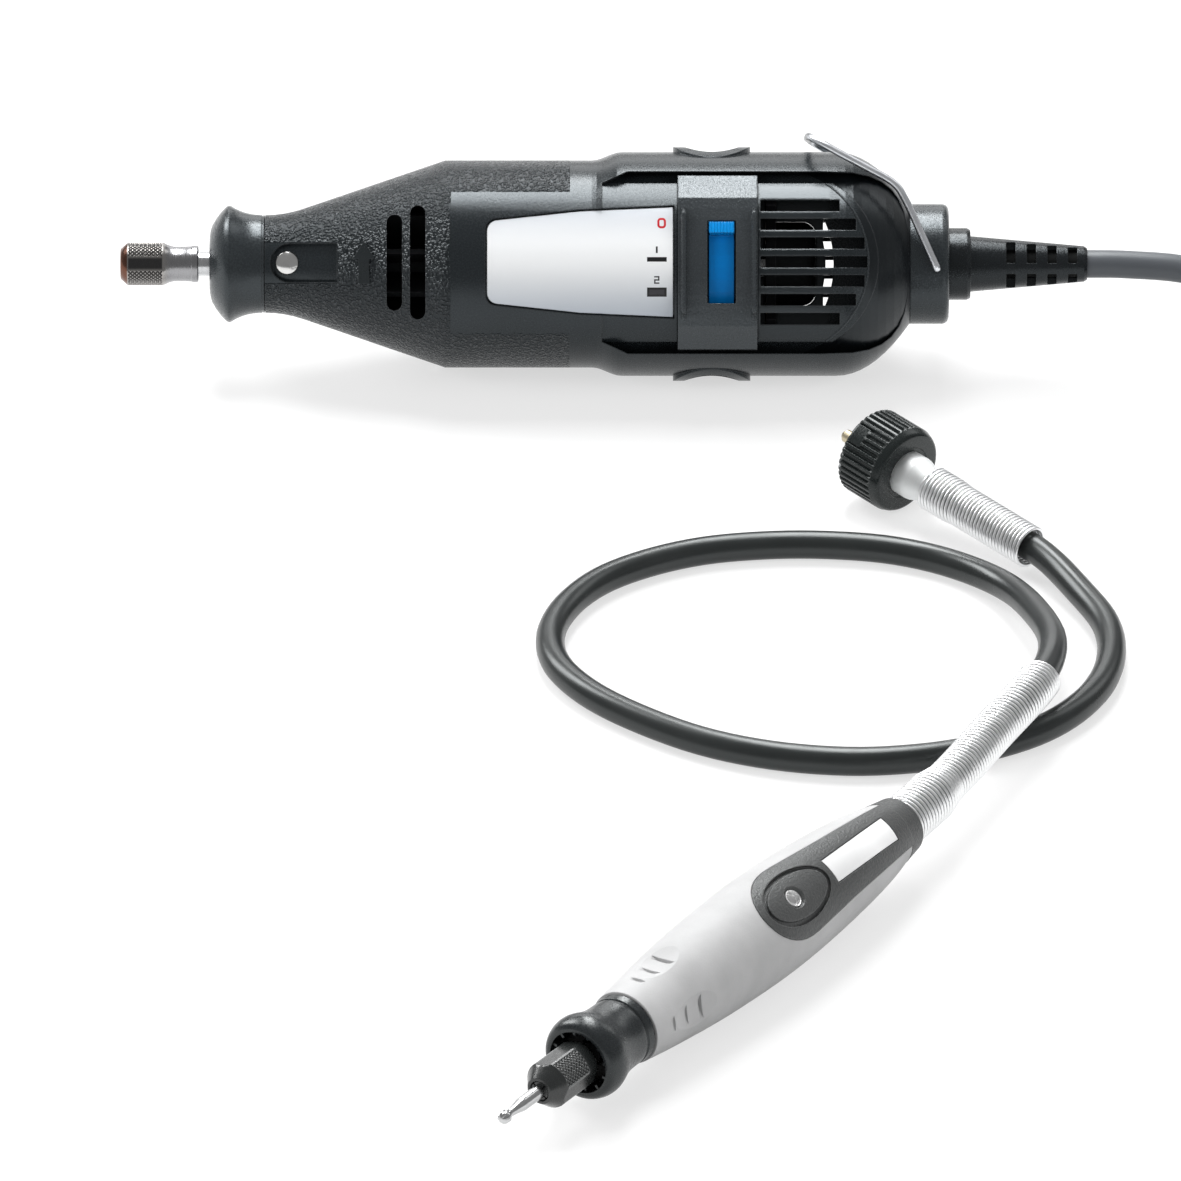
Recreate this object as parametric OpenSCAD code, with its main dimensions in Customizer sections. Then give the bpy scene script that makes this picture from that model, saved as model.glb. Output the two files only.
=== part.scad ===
// Corded rotary tool lying beside its flexible shaft with a pen-shaped handpiece.
// Millimetres. X runs along the tool from nose to cord, Y away from the viewer, Z up.
// The origin is on the table under the middle of the tool and the shaft together.

/* [Tool body] */
// Length of the straight grip section
grip_len = 35.2; // [28:0.2:45]
// Radius of the straight grip section
grip_r = 24.9; // [24:0.1:27]
// Length of the cone between nose and grip
cone_len = 34; // [28:0.5:42]
// Radius of the neck behind the nose cap
neck_r = 11.75; // [11.5:0.05:13]
// Length over which the neck curves into the cone
neck_len = 9.2; // [8:0.2:12]
// Length of the step up to the motor section
step_len = 7.2; // [5:0.2:10]
// Length of the motor section
motor_len = 51.5; // [51:0.5:58]
// Rise from the grip's radius to the motor section's
motor_rise = 2; // [1.6:0.1:2.6]
// Length of the rounded tail
tail_len = 17.6; // [16:0.2:22]
// Wall between the grip's outside and the motor cavity
body_wall = 2.3; // [2.2:0.05:2.5]
// Wall of the cone
cone_wall = 2.2; // [1.8:0.1:2.6]
// Angle that the tool is rolled back about its own axis as it lies
roll = 28; // [20:1:36]

/* [Nose] */
// Radius of the threaded nose boss
thread_r = 9.5; // [9:0.05:9.8]
// Length of the nose cap
cap_len = 13.25; // [11:0.05:16]
// Largest radius of the nose cap
cap_flare_r = 14.05; // [13:0.05:16]
// Length of the collet nut
nut_len = 18.7; // [17:0.1:21]
// Radius of the collet nut over its knurled corners
nut_r = 5.15; // [5:0.05:5.6]
// Radius of the shank that the collets hold
shank_r = 1.6; // [1.2:0.05:1.6]
// Radius of the motor shaft
shaft_r = 3; // [2.8:0.05:3]
// Travel of the shaft-lock button
lock_travel = 2.8; // [2:0.1:2.8]

/* [Side panel] */
// How far the side panel's edge stays below the grip's radius
panel_margin = 5.9; // [5.4:0.1:6.5]
// Width of the recess along the panel's edge
recess_w = 2.8; // [2.4:0.1:3.2]
// Number of vent slots on a side
vent_count = 7; // [5:1:7]
// Spacing of the vent slots
vent_pitch = 4.5; // [4.2:0.05:4.6]
// Height of one vent slot
vent_h = 2.75; // [2.2:0.05:3]
// Angle that the switch slider turns through round the body, off to high
switch_travel = 37; // [32:1:37]

/* [Rear] */
// Radius of the hanger ring
ring_r = 14.4; // [13.5:0.1:15]
// Length of the hanger ring
ring_len = 9.4; // [8:0.1:12]
// Radius of the hanger wire
wire_r = 0.9; // [0.7:0.05:1.1]
// Length of the tapered strain relief
relief_len = 28.1; // [26:0.1:32]
// Diameter of the mains cord
cord_d = 6.7; // [6:0.1:7]

/* [Handpiece] */
// Largest radius of the handpiece grip
hand_r = 12.35; // [11.8:0.05:13]
// Length from cutter tip to the rear of the handpiece
hand_len = 158.3; // [156:0.1:162]
// Compass heading of the handpiece on the table
hand_heading = 55.8; // [50:0.1:60]
// Roll of the handpiece that turns its panel towards the viewer
hand_roll = 40; // [0:1:80]
// Radius of the handpiece spindle
hand_shaft_r = 2.5; // [2.2:0.05:2.7]

/* [Flexible shaft] */
// Diameter of the rubber sheath
sheath_d = 6.8; // [6:0.1:7]
// Diameter of the spring wire
spring_wire = 1.15; // [0.9:0.05:1.25]
// Curls of the spring behind the handpiece
hand_curls = 42; // [30:1:44]
// Curls of the spring behind the coupling
tail_curls = 19; // [15:1:20]
// Radius of the coupling nut over its ribs
coupling_r = 10.75; // [10.7:0.05:12]
// Number of ribs round the coupling nut
coupling_ribs = 28; // [20:1:32]

/* [Cord store] */
// Turns of the stored mains lead
coil_turns = 7.25; // [7.25]
// Radius of the outer turns, to the middle of the cord
coil_r = 42.5; // [42:0.5:48]

/* [Hidden] */
$fn = 64;

// Clearances: loose between moving faces, at the nose cap's rear edge, running in bearings,
// slip between fitted pieces
gap = 0.3;
seam = 0.15;
run = 0.04;
slip = 0.08;
eps = 0.01;

// Body radii
motor_r = grip_r + motor_rise;
cavity_r = grip_r - body_wall;
panel_half = grip_r - panel_margin;
recess_half = panel_half + recess_w;

// Stations along the tool, from the face of the collet nut
cap_x = nut_len + 2.7;
neck_x = cap_x + cap_len + seam;
cone_x = neck_x + neck_len;
grip_x = cone_x + cone_len;
step_x = grip_x + grip_len;
motor_x = step_x + step_len;
tail_x = motor_x + motor_len;
ring_x = tail_x + tail_len;
collar_x = ring_x + ring_len;
collar_len = 5.2;
relief_x = collar_x + collar_len;
tool_len = relief_x + relief_len;
cone_slope = (grip_r - neck_r) / (cone_len + neck_len / 2);
boss_x = neck_x - 8.6;

// Lock button, bearings and motor
lock_x = neck_x + 5.4;
lock_r = 2.65;
lock_pin_r = 1.5;
lock_depth = 1.3;
bearing_r = 9.5;
bearing_w = 6;
front_seat_x = cone_x + 1.9;
fan_x = cone_x + 19;
fan_len = 12;
fan_r = 15.5;
stator_x = grip_x + 5.9;
stator_len = 28;
stator_bore = 11.8;
coil_w = 13.6;
coil_out = cavity_r - 3.3;
commutator_r = 8;
holder_low = commutator_r + 1.4;
brush_x = motor_x + 21.6;
bracket_x = motor_x + 34.5;
rear_seat_x = bracket_x + 2;

// Side panel, saddle and vents, as distances on from the start of the motor section
panel_start = step_x + 2.4;
saddle_x = motor_x + 13.4;
saddle_len = 19;
saddle_half = panel_half + 1.8;
saddle_r = grip_r - 0.9;
vent_x = saddle_x + saddle_len + 0.7;
vent_centre_x = vent_x + 6.2;
vent_end_r = panel_half + 0.6;
recess_drop = 0.7;
label_x = grip_x + 10.2;
label_end = saddle_x - 1.2;
slider_x = saddle_x + 7.4;
slider_w = 6;
slider_r = saddle_r - 0.5;
slider_t = 1.4;
window_half = 9.9;
ridge_r = saddle_r + 2.2;
ridge_half = 3;
slider_reach = asin(window_half / slider_r) + switch_travel / 2;
slider_room = slider_r * sin(slider_reach + switch_travel / 2) + gap;

// Tool placement on the table
tool_y = 179.5;
tool_z = motor_r;

// Handpiece stations from the cutter tip
hand_x = -23;
hand_y = -206.8;
hand_tilt = 0.45;
hand_nut_x = 15;
hand_nut_len = 15.5;
hand_nut_r = 5.5;
hand_collar_x = 30.2;
hand_grip_x = 48.9;
hand_ring_x = hand_len - 4.7;
hand_grip_len = hand_ring_x - hand_grip_x;
hand_girth_x = hand_grip_x + 0.498 * hand_grip_len;
hand_z = hand_r / cos(hand_tilt) - hand_girth_x * sin(hand_tilt);
lock_hole_x = hand_len - 53.3;
lock_hole_r = 2.2;
lock_pin_hole_r = 1.4;
island_x = lock_hole_x + 1.5;
sticker_x = lock_hole_x + 15.3;
sticker_len = 27;
sticker_half = 3.05;
rest_x = hand_grip_x + 0.101 * hand_grip_len;
rest_angle = 43.5;
rest_r = 30;
rest_seat = hand_r * 0.745;
hand_bearing_x = [hand_grip_x - 9.8, hand_len - 25.3];
hand_bearing_w = 3.9;
hand_bearing_r = 5;

// Coupling stations from the drive tip
coupling_pos = [57, 117.7];
coupling_heading = -45.5;
coupling_tilt = 6.5;
coupling_x = 8.2;
coupling_len = 13;
coupling_z = coupling_r * cos(coupling_tilt) + (coupling_x + coupling_len - 2) * sin(coupling_tilt);
ferrule_r = 5.4;
core_wire_r = 1.2;
ferrule_end = 33;
coupling_spring_x = 29.6;
coupling_spring_end = 62.5;

// Lengths of stored cord outside the view
coil_centre = [194, tool_y - 0.4 - coil_r];
coil_gap = 0.6;
tie_t = 0.5;
coil_low = cord_d / 2 + tie_t;
coil_layer = cord_d + 0.5;
coil_pitch = cord_d + coil_gap;
plug_len = 36;
plug_w = 27;
plug_t = 13.6;
plug_y = 83;

// ---- small helpers -------------------------------------------------------

// Points of an arc from angle a to angle b
function arc(c, r, a, b, n = 8) = [for (i = [0:n]) c + r * [cos(a + (b - a) * i / n),
    sin(a + (b - a) * i / n)]];

// Turns the z axis of its children to the tool axis; a profile is [radius, station]
module along_x() {
    rotate([0, 90, 0]) children();
}

module tube(x0, x1, r, bore = 0) {
    translate([x0, 0, 0]) along_x() difference() {
        cylinder(h = x1 - x0, r = r);
        if (bore > 0) translate([0, 0, -1]) cylinder(h = x1 - x0 + 2, r = bore);
    }
}

// A solid of revolution about the tool axis from [station, radius] points
module turned(pts) {
    along_x() rotate_extrude() polygon([for (p = pts) [p[1], p[0]]]);
}

// Extrudes an outline drawn in the side view (x, z) from y0 to y1
module side_cut(y0, y1) {
    translate([0, y1, 0]) rotate([90, 0, 0]) linear_extrude(y1 - y0) children();
}

module round_box(x0, x1, half, r) {
    polygon(concat(arc([x0 + r, -half + r], r, 180, 270), arc([x1 - r, -half + r], r, 270, 360),
        arc([x1 - r, half - r], r, 0, 90), arc([x0 + r, half - r], r, 90, 180)));
}

module on_tool() {
    translate([-tool_len / 2, tool_y, tool_z]) rotate([-roll, 0, 0]) children();
}

module on_hand() {
    translate([hand_x, hand_y, hand_z]) rotate([0, -hand_tilt, hand_heading])
        rotate([hand_roll, 0, 0]) children();
}

module on_coupling() {
    translate([coupling_pos[0], coupling_pos[1], coupling_z])
        rotate([0, coupling_tilt, coupling_heading]) children();
}

// ---- routes --------------------------------------------------------------

function hand_pt(x) = [hand_x + x * cos(hand_tilt) * cos(hand_heading),
    hand_y + x * cos(hand_tilt) * sin(hand_heading), hand_z + x * sin(hand_tilt)];
function coupling_pt(x) = [coupling_pos[0] + x * cos(coupling_tilt) * cos(coupling_heading),
    coupling_pos[1] + x * cos(coupling_tilt) * sin(coupling_heading),
    coupling_z - x * sin(coupling_tilt)];

// The sheath on the table, from the handpiece round to the coupling
sheath_low = sheath_d / 2;
sheath_pts = concat([hand_pt(hand_len - 25), hand_pt(hand_len)], [
    [78.5, -53.5, 12.95], [89.5, -29.5, 13], [100.5, -5, 13], [104, 17, 11], [100, 40, 7.5],
    [93, 58, 4.5],
    [81, 70.5, sheath_low], [67, 77, sheath_low], [51, 79.5, sheath_low],
    [36, 79, sheath_low], [22, 76, sheath_low], [9, 69.5, sheath_low],
    [-1.5, 60.5, sheath_low], [-9, 48, sheath_low], [-12.5, 34, sheath_low],
    [-11, 20, sheath_low], [-4, 6.5, sheath_low], [7, -5.5, sheath_low],
    [22, -17, sheath_low], [38, -24, sheath_low], [55, -27, sheath_low],
    [70, -26, sheath_low], [84, -22, sheath_low], [98, -14, sheath_low],
    [108, -3.5, sheath_low], [115, 10, sheath_low], [118, 25, sheath_low],
    [117, 40, sheath_low + 0.1], [111.5, 55, sheath_low + 0.5]],
    [coupling_pt(coupling_spring_end + 4), coupling_pt(coupling_spring_end - 10),
    coupling_pt(ferrule_end + 1)]);

// The mains cord, from its clamp through the strain relief and down to the store coil
cord_pts = [[ring_x - 6 - tool_len / 2, tool_y, tool_z], [tool_len / 2 - 20, tool_y, tool_z], [tool_len / 2, tool_y, tool_z],
    [tool_len / 2 + 10, tool_y, tool_z - 0.2], [tool_len / 2 + 24, tool_y, tool_z - 1.6],
    [154, tool_y, 20.5], [166, tool_y, 12.8], [177, tool_y, 6.8], [186, tool_y - 0.2, 4.2],
    [coil_centre[0], coil_centre[1] + coil_r, coil_low]];
lead_x = coil_centre[0] + coil_r;
coil_top = coil_low + 3 * coil_layer;
lead_pts = [[lead_x, coil_centre[1], coil_top], [lead_x, coil_centre[1] - 8, coil_top - 0.4],
    [lead_x, plug_y + 35, coil_top - 3], [lead_x, plug_y + 24, 16.5], [lead_x, plug_y + 12, 9.5],
    [lead_x, plug_y + 5, plug_t / 2 + 0.3], [lead_x, plug_y - 4, plug_t / 2]];

// Smooth curve through points: value at parameter u, from 0 to the last index
function curve(p, u) = let (n = len(p), i = min(floor(u), n - 2), t = u - i, b = p[i], c = p[i + 1],
    a = i > 0 ? p[i - 1] : 2 * b - c, d = i + 2 < n ? p[i + 2] : 2 * c - b)
    0.5 * (2 * b + (c - a) * t + (2 * a - 5 * b + 4 * c - d) * t * t
    + (3 * b - a - 3 * c + d) * t * t * t);
function unit(v) = v / norm(v);
function heading(p, u) = let (h = 0.02, n = len(p) - 1)
    unit(curve(p, min(n, u + h)) - curve(p, max(0, u - h)));
function side_of(t) = unit(cross([0, 0, 1], t));

// Skin of a tube over rings of equal size, closed at both ends
module skin(rings) {
    n = len(rings[0]);
    m = len(rings);
    pts = [for (r = rings) each r];
    body = [for (i = [0:m - 2]) for (j = [0:n - 1]) let (a = i * n + j, b = i * n + (j + 1) % n)
        each [[a, a + n, b], [b, a + n, b + n]]];
    first = [for (j = [1:n - 2]) [0, j, j + 1]];
    last = [for (j = [1:n - 2]) [(m - 1) * n, (m - 1) * n + j + 1, (m - 1) * n + j]];
    polyhedron(points = pts, faces = concat(body, first, last), convexity = 8);
}

function ring_at(c, e1, e2, r, sides) = [for (j = [0:sides - 1])
    c + r * (cos(360 * j / sides) * e1 + sin(360 * j / sides) * e2)];

// Plain cord along a route, with so many rings
module cord(p, d, rings, sides, u0 = 0) {
    n = len(p) - 1;
    skin([for (i = [0:rings - 1]) let (u = u0 + (n - u0) * i / (rings - 1), t = heading(p, u),
        s = side_of(t)) ring_at(curve(p, u), s, cross(t, s), d / 2, sides)]);
}

// Middle of a spring's wire at turn w: follows the route from u0 to u1
function spring_axis(p, u0, u1, k) = curve(p, u0 + (u1 - u0) * k);
function spring_mid(p, u0, u1, k, w, r) = let (c = spring_axis(p, u0, u1, k),
    t = heading(p, u0 + (u1 - u0) * k), s = side_of(t), b = cross(t, s))
    c + r * (cos(360 * w) * s + sin(360 * w) * b);
// Radius at share k of the spring: wide at first, then drawn in
function spring_r(r0, r1, neck, k) = k < neck ? r0 : k > neck + 0.08 ? r1
    : r0 + (r1 - r0) * (k - neck) / 0.08;
curl_rings = 8;
function spring_rings(p, u0, u1, curls, r0, r1, neck) = let (m = curls * curl_rings)
    [for (i = [0:m]) let (k = i / m, w = curls * k,
        a = spring_mid(p, u0, u1, k, w, spring_r(r0, r1, neck, k)),
        c = spring_axis(p, u0, u1, k), e1 = unit(a - c),
        t = unit(cross(heading(p, u0 + (u1 - u0) * k), e1)), e2 = cross(t, e1))
        ring_at(a, e1, e2, spring_wire / 2, 6)];
function spring_mids(p, u0, u1, curls, r0, r1, neck) = let (m = curls * curl_rings)
    [for (i = [0:m]) let (k = i / m)
        spring_mid(p, u0, u1, k, curls * k, spring_r(r0, r1, neck, k))];
// Least gap between a winding and its own next turns, on the points of its middle
function least_gap(mids, turn, d) = min([for (i = [0:len(mids) - 1])
    for (j = [i + floor(turn * 0.6):min(len(mids) - 1, i + ceil(turn * 1.4))])
    norm(mids[i] - mids[j])]) - d;

hand_spring_r0 = 5.6;
hand_spring_r1 = 4.6;
hand_spring_u = [1.02, 4];
tail_spring_r0 = 4.9;
tail_spring_r1 = 4.6;
tail_n = len(sheath_pts) - 1;
tail_pts = [coupling_pt(coupling_spring_x), coupling_pt((coupling_spring_x
    + coupling_spring_end) / 2), coupling_pt(coupling_spring_end)];

// Store coil: middle of the cord at turn w, spiralling in and out over four layers
layer_turns = coil_turns / 4;
function wave(w) = let (s = w / layer_turns, f = s - 2 * floor(s / 2)) f < 1 ? f : 2 - f;
function climb(w) = let (near = round(w / layer_turns), d = (w - near * layer_turns) / 0.5)
    near < 1 ? 0 : near > 3 ? 3 : near - 1 + min(1, max(0, d + 0.5));
function coil_radius(w) = coil_r - coil_pitch * layer_turns * wave(w);
function coil_mid(w) = [coil_centre[0] + coil_radius(w) * sin(360 * w),
    coil_centre[1] + coil_radius(w) * cos(360 * w), coil_low + coil_layer * climb(w)];
loop_rings = 24;
coil_steps = coil_turns * loop_rings;
function coil_e1(w) = [sin(360 * w), cos(360 * w), 0];

// ---- housing -------------------------------------------------------------

// Radius of the shell at a station
function shell_r(x) = x < cone_x ? neck_r + cone_slope * pow(x - neck_x, 2) / (2 * neck_len)
    : x < grip_x ? neck_r + cone_slope * (x - cone_x + neck_len / 2)
    : x < step_x ? grip_r
    : x < motor_x ? grip_r + (motor_r - grip_r) * (1 - cos(180 * (x - step_x) / step_len)) / 2
    : x < tail_x ? motor_r
    : ring_r + (motor_r - ring_r) * (1 - pow((x - tail_x) / tail_len, 2));

shell_stations = concat([for (i = [0:4]) neck_x + neck_len * i / 4], [grip_x],
    [for (i = [0:6]) step_x + step_len * i / 6], [for (i = [0:9]) tail_x + tail_len * i / 9]);

// The shell's outside, drawn in by a depth that may fade towards the tail
module shell(depth = 0, fade = false) {
    turned(concat([[neck_x, 0]], [for (x = shell_stations) [x, shell_r(x)
        - depth * (fade && x > tail_x ? max(0, 1 - (x - tail_x) / tail_len) : 1)]],
        [[ring_x, 0]]));
}

// The panel level: the grip's own radius carried on through the motor section
module panel_level(drop) {
    turned(concat([[step_x - 4, 0], [step_x - 4, grip_r - drop], [tail_x - 2, grip_r - drop]],
        [for (i = [1:9]) let (x = tail_x + tail_len * i / 9)
            [x, shell_r(x) - (motor_r - grip_r + drop) * (1 - i / 9)]], [[ring_x, 0]]));
}

module cavity() {
    turned([[front_seat_x + bearing_w - eps, 0], [front_seat_x + bearing_w - eps, bearing_r - 1.5],
        [cone_x + 12, shell_r(cone_x + 12) - cone_wall], [grip_x - 1, cavity_r],
        [tail_x, cavity_r], [tail_x + 0.5 * tail_len, 18.4], [tail_x + 0.8 * tail_len, 12],
        [tail_x + 0.8 * tail_len, 0]]);
}

// D-shaped outline of the recess round the side panel
recess_round_x = tail_x - 4;
module recess_outline() {
    a = ring_x - 0.4 - recess_round_x;
    tip = [for (i = [0:16]) let (t = 90 - 180 * i / 16, c = cos(t), s = sin(t))
        [recess_round_x + a * pow(c, 0.62), recess_half * sign(s) * pow(abs(s), 0.62)]];
    polygon(concat([[panel_start, -panel_half], [panel_start, panel_half],
        [panel_start + 6.2, recess_half]], tip, [[panel_start + 6.2, -recess_half]]));
}

module panel_outline() {
    end_x = vent_centre_x + sqrt(pow(vent_end_r + 2.4, 2) - pow(panel_half, 2));
    end_a = atan2(panel_half, end_x - vent_centre_x);
    polygon(concat([[panel_start - 3, -panel_half]],
        arc([vent_centre_x, 0], vent_end_r + 2.4, -end_a, end_a, 16),
        [[panel_start - 3, panel_half]]));
}

label_corner = 2.6;
module label_outline(grow) {
    l = label_x - grow;
    r = label_end + grow;
    polygon(concat([[r, 13.1 + grow], [(l + r) / 2, 12.1 + grow]],
        arc([l + label_corner, 10 - label_corner + grow], label_corner, 90, 180, 6),
        arc([l + label_corner, -10 + label_corner - grow], label_corner, 180, 270, 6),
        [[(l + r) / 2, -12.1 - grow], [r, -13.1 - grow]]));
}

// One vent slot, ending on the arc that bounds the side panel
module vent(i) {
    z = (i - (vent_count - 1) / 2) * vent_pitch;
    x1 = vent_centre_x + sqrt(pow(vent_end_r, 2) - pow(abs(z) + vent_h / 2, 2));
    translate([vent_x, -40, z - vent_h / 2]) cube([x1 - vent_x, 80, vent_h]);
}

module cone_slot(x, half) {
    side_cut(-40, 40) polygon(concat(arc([x, half - 1.85], 1.85, 0, 180, 8),
        arc([x, -half + 1.85], 1.85, 180, 360, 8)));
}

screw_stations = [grip_x - 1.6, step_x + 7.5];
screw_z = grip_r - 5.7;
module at_screws() {
    for (x = screw_stations) for (s = [-1, 1]) translate([x, 0, s * screw_z]) children();
}

brush_cap_r = 6.6;
// where the cap's inner face stops, and the room that it leaves the brush's spring
brush_cap_seat = motor_r - 6.3;
brush_spring_room = 1.3;
boss_cap_r = 9.3;
module brush_boss(side) {
    // A pad whose face is domed round the tool axis, so that the shell still rests on the table
    dome_r = 17.6;
    top = motor_r + 1.2;
    intersection() {
        translate([brush_x, 0, side * (motor_r - 6.9)]) cylinder(h = 17, r = boss_cap_r, center = true);
        translate([brush_x - 12, 0, side * (top - dome_r)]) along_x() cylinder(h = 24, r = dome_r);
        translate([brush_x, 0, side * 12]) cylinder(h = 60, r1 = boss_cap_r + (side > 0 ? 24 : -6),
            r2 = boss_cap_r + (side > 0 ? -6 : 24), center = true);
    }
}

module housing_whole() {
    difference() {
        union() {
            shell();
            tube(boss_x, neck_x + eps, thread_r);
            for (s = [-1, 1]) brush_boss(s);
        }
        cavity();
        tube(boss_x - 1, front_seat_x + 1, 6.5);
        tube(front_seat_x, front_seat_x + bearing_w + eps, bearing_r + run);
        tube(ring_x - 6, ring_x + 1, 7.4);
        for (s = [-1, 1]) {
            // side recess down to the panel level, then the groove round the panel
            difference() {
                side_cut(s < 0 ? -40 : 0, s < 0 ? 0 : 40) recess_outline();
                panel_level(0);
            }
            difference() {
                side_cut(s < 0 ? -40 : 0, s < 0 ? 0 : 40) difference() {
                    recess_outline();
                    panel_outline();
                }
                panel_level(recess_drop);
            }
            translate([brush_x, 0, s * (motor_r - 4.9)]) cylinder(h = 14, r = brush_cap_r + slip, center = true);
        }
        for (i = [0:vent_count - 1]) vent(i);
        cone_slot(cone_x + 22, 11.5);
        cone_slot(cone_x + 27.6, 13.6);
    }
}

module screw_posts() {
    at_screws() rotate([90, 0, 0]) cylinder(h = 20, r = 3.3, center = true);
}

module screw_holes() {
    at_screws() {
        rotate([90, 0, 0]) cylinder(h = 18, r = 1.5, center = true);
        translate([0, 5, 0]) rotate([-90, 0, 0]) cylinder(h = 30, r = 3);
    }
}

module half_space(side) {
    translate([-10, side > 0 ? 0 : -50, -50]) cube([tool_len + 20, 50, 100]);
}

module housing_label_half() {
    color("#2a2c2f") on_tool() difference() {
        union() {
            intersection() {
                housing_whole();
                half_space(-1);
            }
            intersection() {
                screw_posts();
                half_space(-1);
                shell(1);
            }
        }
        screw_holes();
        // shaft-lock recess with its button well
        difference() {
            side_cut(-40, 0) polygon(concat([[lock_x + 12, 4.7]], arc([lock_x + 0.6, 0], 4.7, 90, 270, 12),
                [[lock_x + 12, -4.7]]));
            shell(lock_depth);
        }
        translate([lock_x, 0, 0]) rotate([90, 0, 0]) {
            translate([0, 0, 7.2]) cylinder(h = 20, r = lock_r + 0.1);
            cylinder(h = 20, r = lock_pin_r + 0.06);
        }
        // bed of the label
        difference() {
            side_cut(-40, 0) label_outline(0.4);
            tube(label_x - 5, label_end + 5, grip_r - 0.9);
        }
        // seat and opening of the switch saddle
        difference() {
            translate([saddle_x - 0.1, -40, -saddle_half - 0.1])
                cube([saddle_len + 0.2, 40, 2 * saddle_half + 0.2]);
            tube(saddle_x - 2, saddle_x + saddle_len + 2, saddle_r);
        }
        intersection() {
            translate([slider_x - 1.4, -30, -slider_room]) cube([slider_w + 2.8, 21.2, 2 * slider_room]);
            tube(saddle_x, saddle_x + saddle_len, saddle_r + eps);
        }
    }
}

// Rib on the split plane that parts the air of the two sides round the rear bearing's cup
divider_x = brush_x + brush_cap_r + 0.6;
divider_t = 1.6;
cup_r = 10;
cup_round = 3;
spider_t = 2.4;
cup_end = rear_seat_x + bearing_w + 4;
module divider_rib() {
    end = ring_x - 6.6;
    intersection() {
        shell(1);
        side_cut(0.02, divider_t) difference() {
            translate([divider_x, -40]) square([end - divider_x, 80]);
            translate([divider_x - 1, -shaft_r - gap]) square([cup_end - divider_x, 2 * (shaft_r + gap)]);
            polygon(concat([[bracket_x - slip, cup_r + slip]],
                arc([cup_end - cup_round, cup_r - cup_round], cup_round + slip, 90, 0, 5),
                arc([cup_end - cup_round, cup_round - cup_r], cup_round + slip, 0, -90, 5),
                [[bracket_x - slip, -cup_r - slip]]));
            translate([bracket_x - slip, -cavity_r]) square([spider_t + 2 * slip, 2 * cavity_r]);
            // curved gap behind the cup, through which light shows
            intersection() {
                translate([cup_end + 1.9, -10.3]) square([8, 20.6]);
                difference() {
                    translate([cup_end - 21.5, 0]) circle(r = 25.9);
                    translate([cup_end - 21.5, 0]) circle(r = 24);
                }
            }
        }
    }
}

module housing_back_half() {
    color("#2a2c2f") on_tool() difference() {
        union() {
            intersection() {
                housing_whole();
                half_space(1);
            }
            intersection() {
                screw_posts();
                half_space(1);
                shell(1);
            }
            divider_rib();
        }
        screw_holes();
    }
}

module housing_screws() {
    color("silver") on_tool() at_screws() {
        translate([0, 5.1, 0]) rotate([-90, 0, 0]) difference() {
            cylinder(h = 2.2, r = 2.7);
            for (a = [0, 90]) rotate([0, 0, a]) translate([-1.6, -0.35, 1]) cube([3.2, 0.7, 2]);
        }
        translate([0, -8.8, 0]) rotate([-90, 0, 0]) cylinder(h = 14, r = 1.42);
    }
}

module side_label() {
    color("#d7dade") on_tool() intersection() {
        side_cut(-40, 0) label_outline(0);
        tube(label_x - 5, label_end + 5, grip_r - 0.25, grip_r - 0.85);
    }
}

// ---- switch --------------------------------------------------------------

// Cross-section of the saddle in (y, z): a crowned face with a facet along each edge
saddle_face = 15.4;
crown_r = 38.6;
module saddle_section() {
    top_y = -(grip_r + 0.5);
    a = asin(saddle_face / crown_r);
    polygon(concat([[0, -saddle_half], [-16.6, -saddle_half]],
        arc([top_y + crown_r, 0], crown_r, 180 + a, 180 - a, 12),
        [[-16.6, saddle_half], [0, saddle_half]]));
}

module switch_saddle() {
    color("#232528") on_tool() difference() {
        union() {
            translate([saddle_x, 0, 0]) rotate([90, 0, 90]) linear_extrude(saddle_len) saddle_section();
            for (x = [saddle_x + 0.8, saddle_x + saddle_len - 1.4])
                translate([x, -(grip_r + 1), -11.8]) cube([0.6, 2, 23.6]);
        }
        tube(saddle_x - 1, saddle_x + saddle_len + 1, saddle_r + 0.05);
        translate([slider_x - 0.4, -40, -window_half]) cube([slider_w + 0.8, 40, 2 * window_half]);
    }
}

module slider_sector(x, w, r0, r1, a0, a1) {
    translate([x, 0, 0]) rotate([90, 0, 90]) linear_extrude(w)
        polygon(concat(arc([0, 0], r1, 180 + a0, 180 + a1, 12), arc([0, 0], r0, 180 + a1, 180 + a0, 12)));
}

module switch_slider() {
    // off: the ridge stands half the travel above the middle of the window
    color("#1767b5") on_tool() rotate([-switch_travel / 2, 0, 0]) {
        slider_sector(slider_x, slider_w, slider_r - slider_t, slider_r, -slider_reach, slider_reach);
        slider_sector(slider_x, slider_w, slider_r - eps, ridge_r, -ridge_half, ridge_half);
        slider_sector(slider_x + 1.4, slider_w - 2.8, slider_r - slider_t - 1.2,
            slider_r - slider_t + eps, -8, 8);
    }
}

module switch_module() {
    color("#3b3d40") on_tool() translate([saddle_x + 2.4, -18.4, -8]) cube([14, 7.4, 16]);
}

// ---- nose ----------------------------------------------------------------

module lock_button() {
    color("#c9ccd0") on_tool() translate([lock_x, 0, 0]) rotate([90, 0, 0]) {
        translate([0, 0, 7.4 + lock_travel]) cylinder(h = 1.4, r = lock_r);
        intersection() {
            translate([0, 0, 7.4 + lock_travel]) cylinder(h = 4, r = lock_r);
            translate([0, 0, 12.7 - 4.6]) sphere(r = 4.6);
        }
        translate([0, 0, shaft_r + 1]) cylinder(h = 7, r = lock_pin_r);
    }
}

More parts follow.
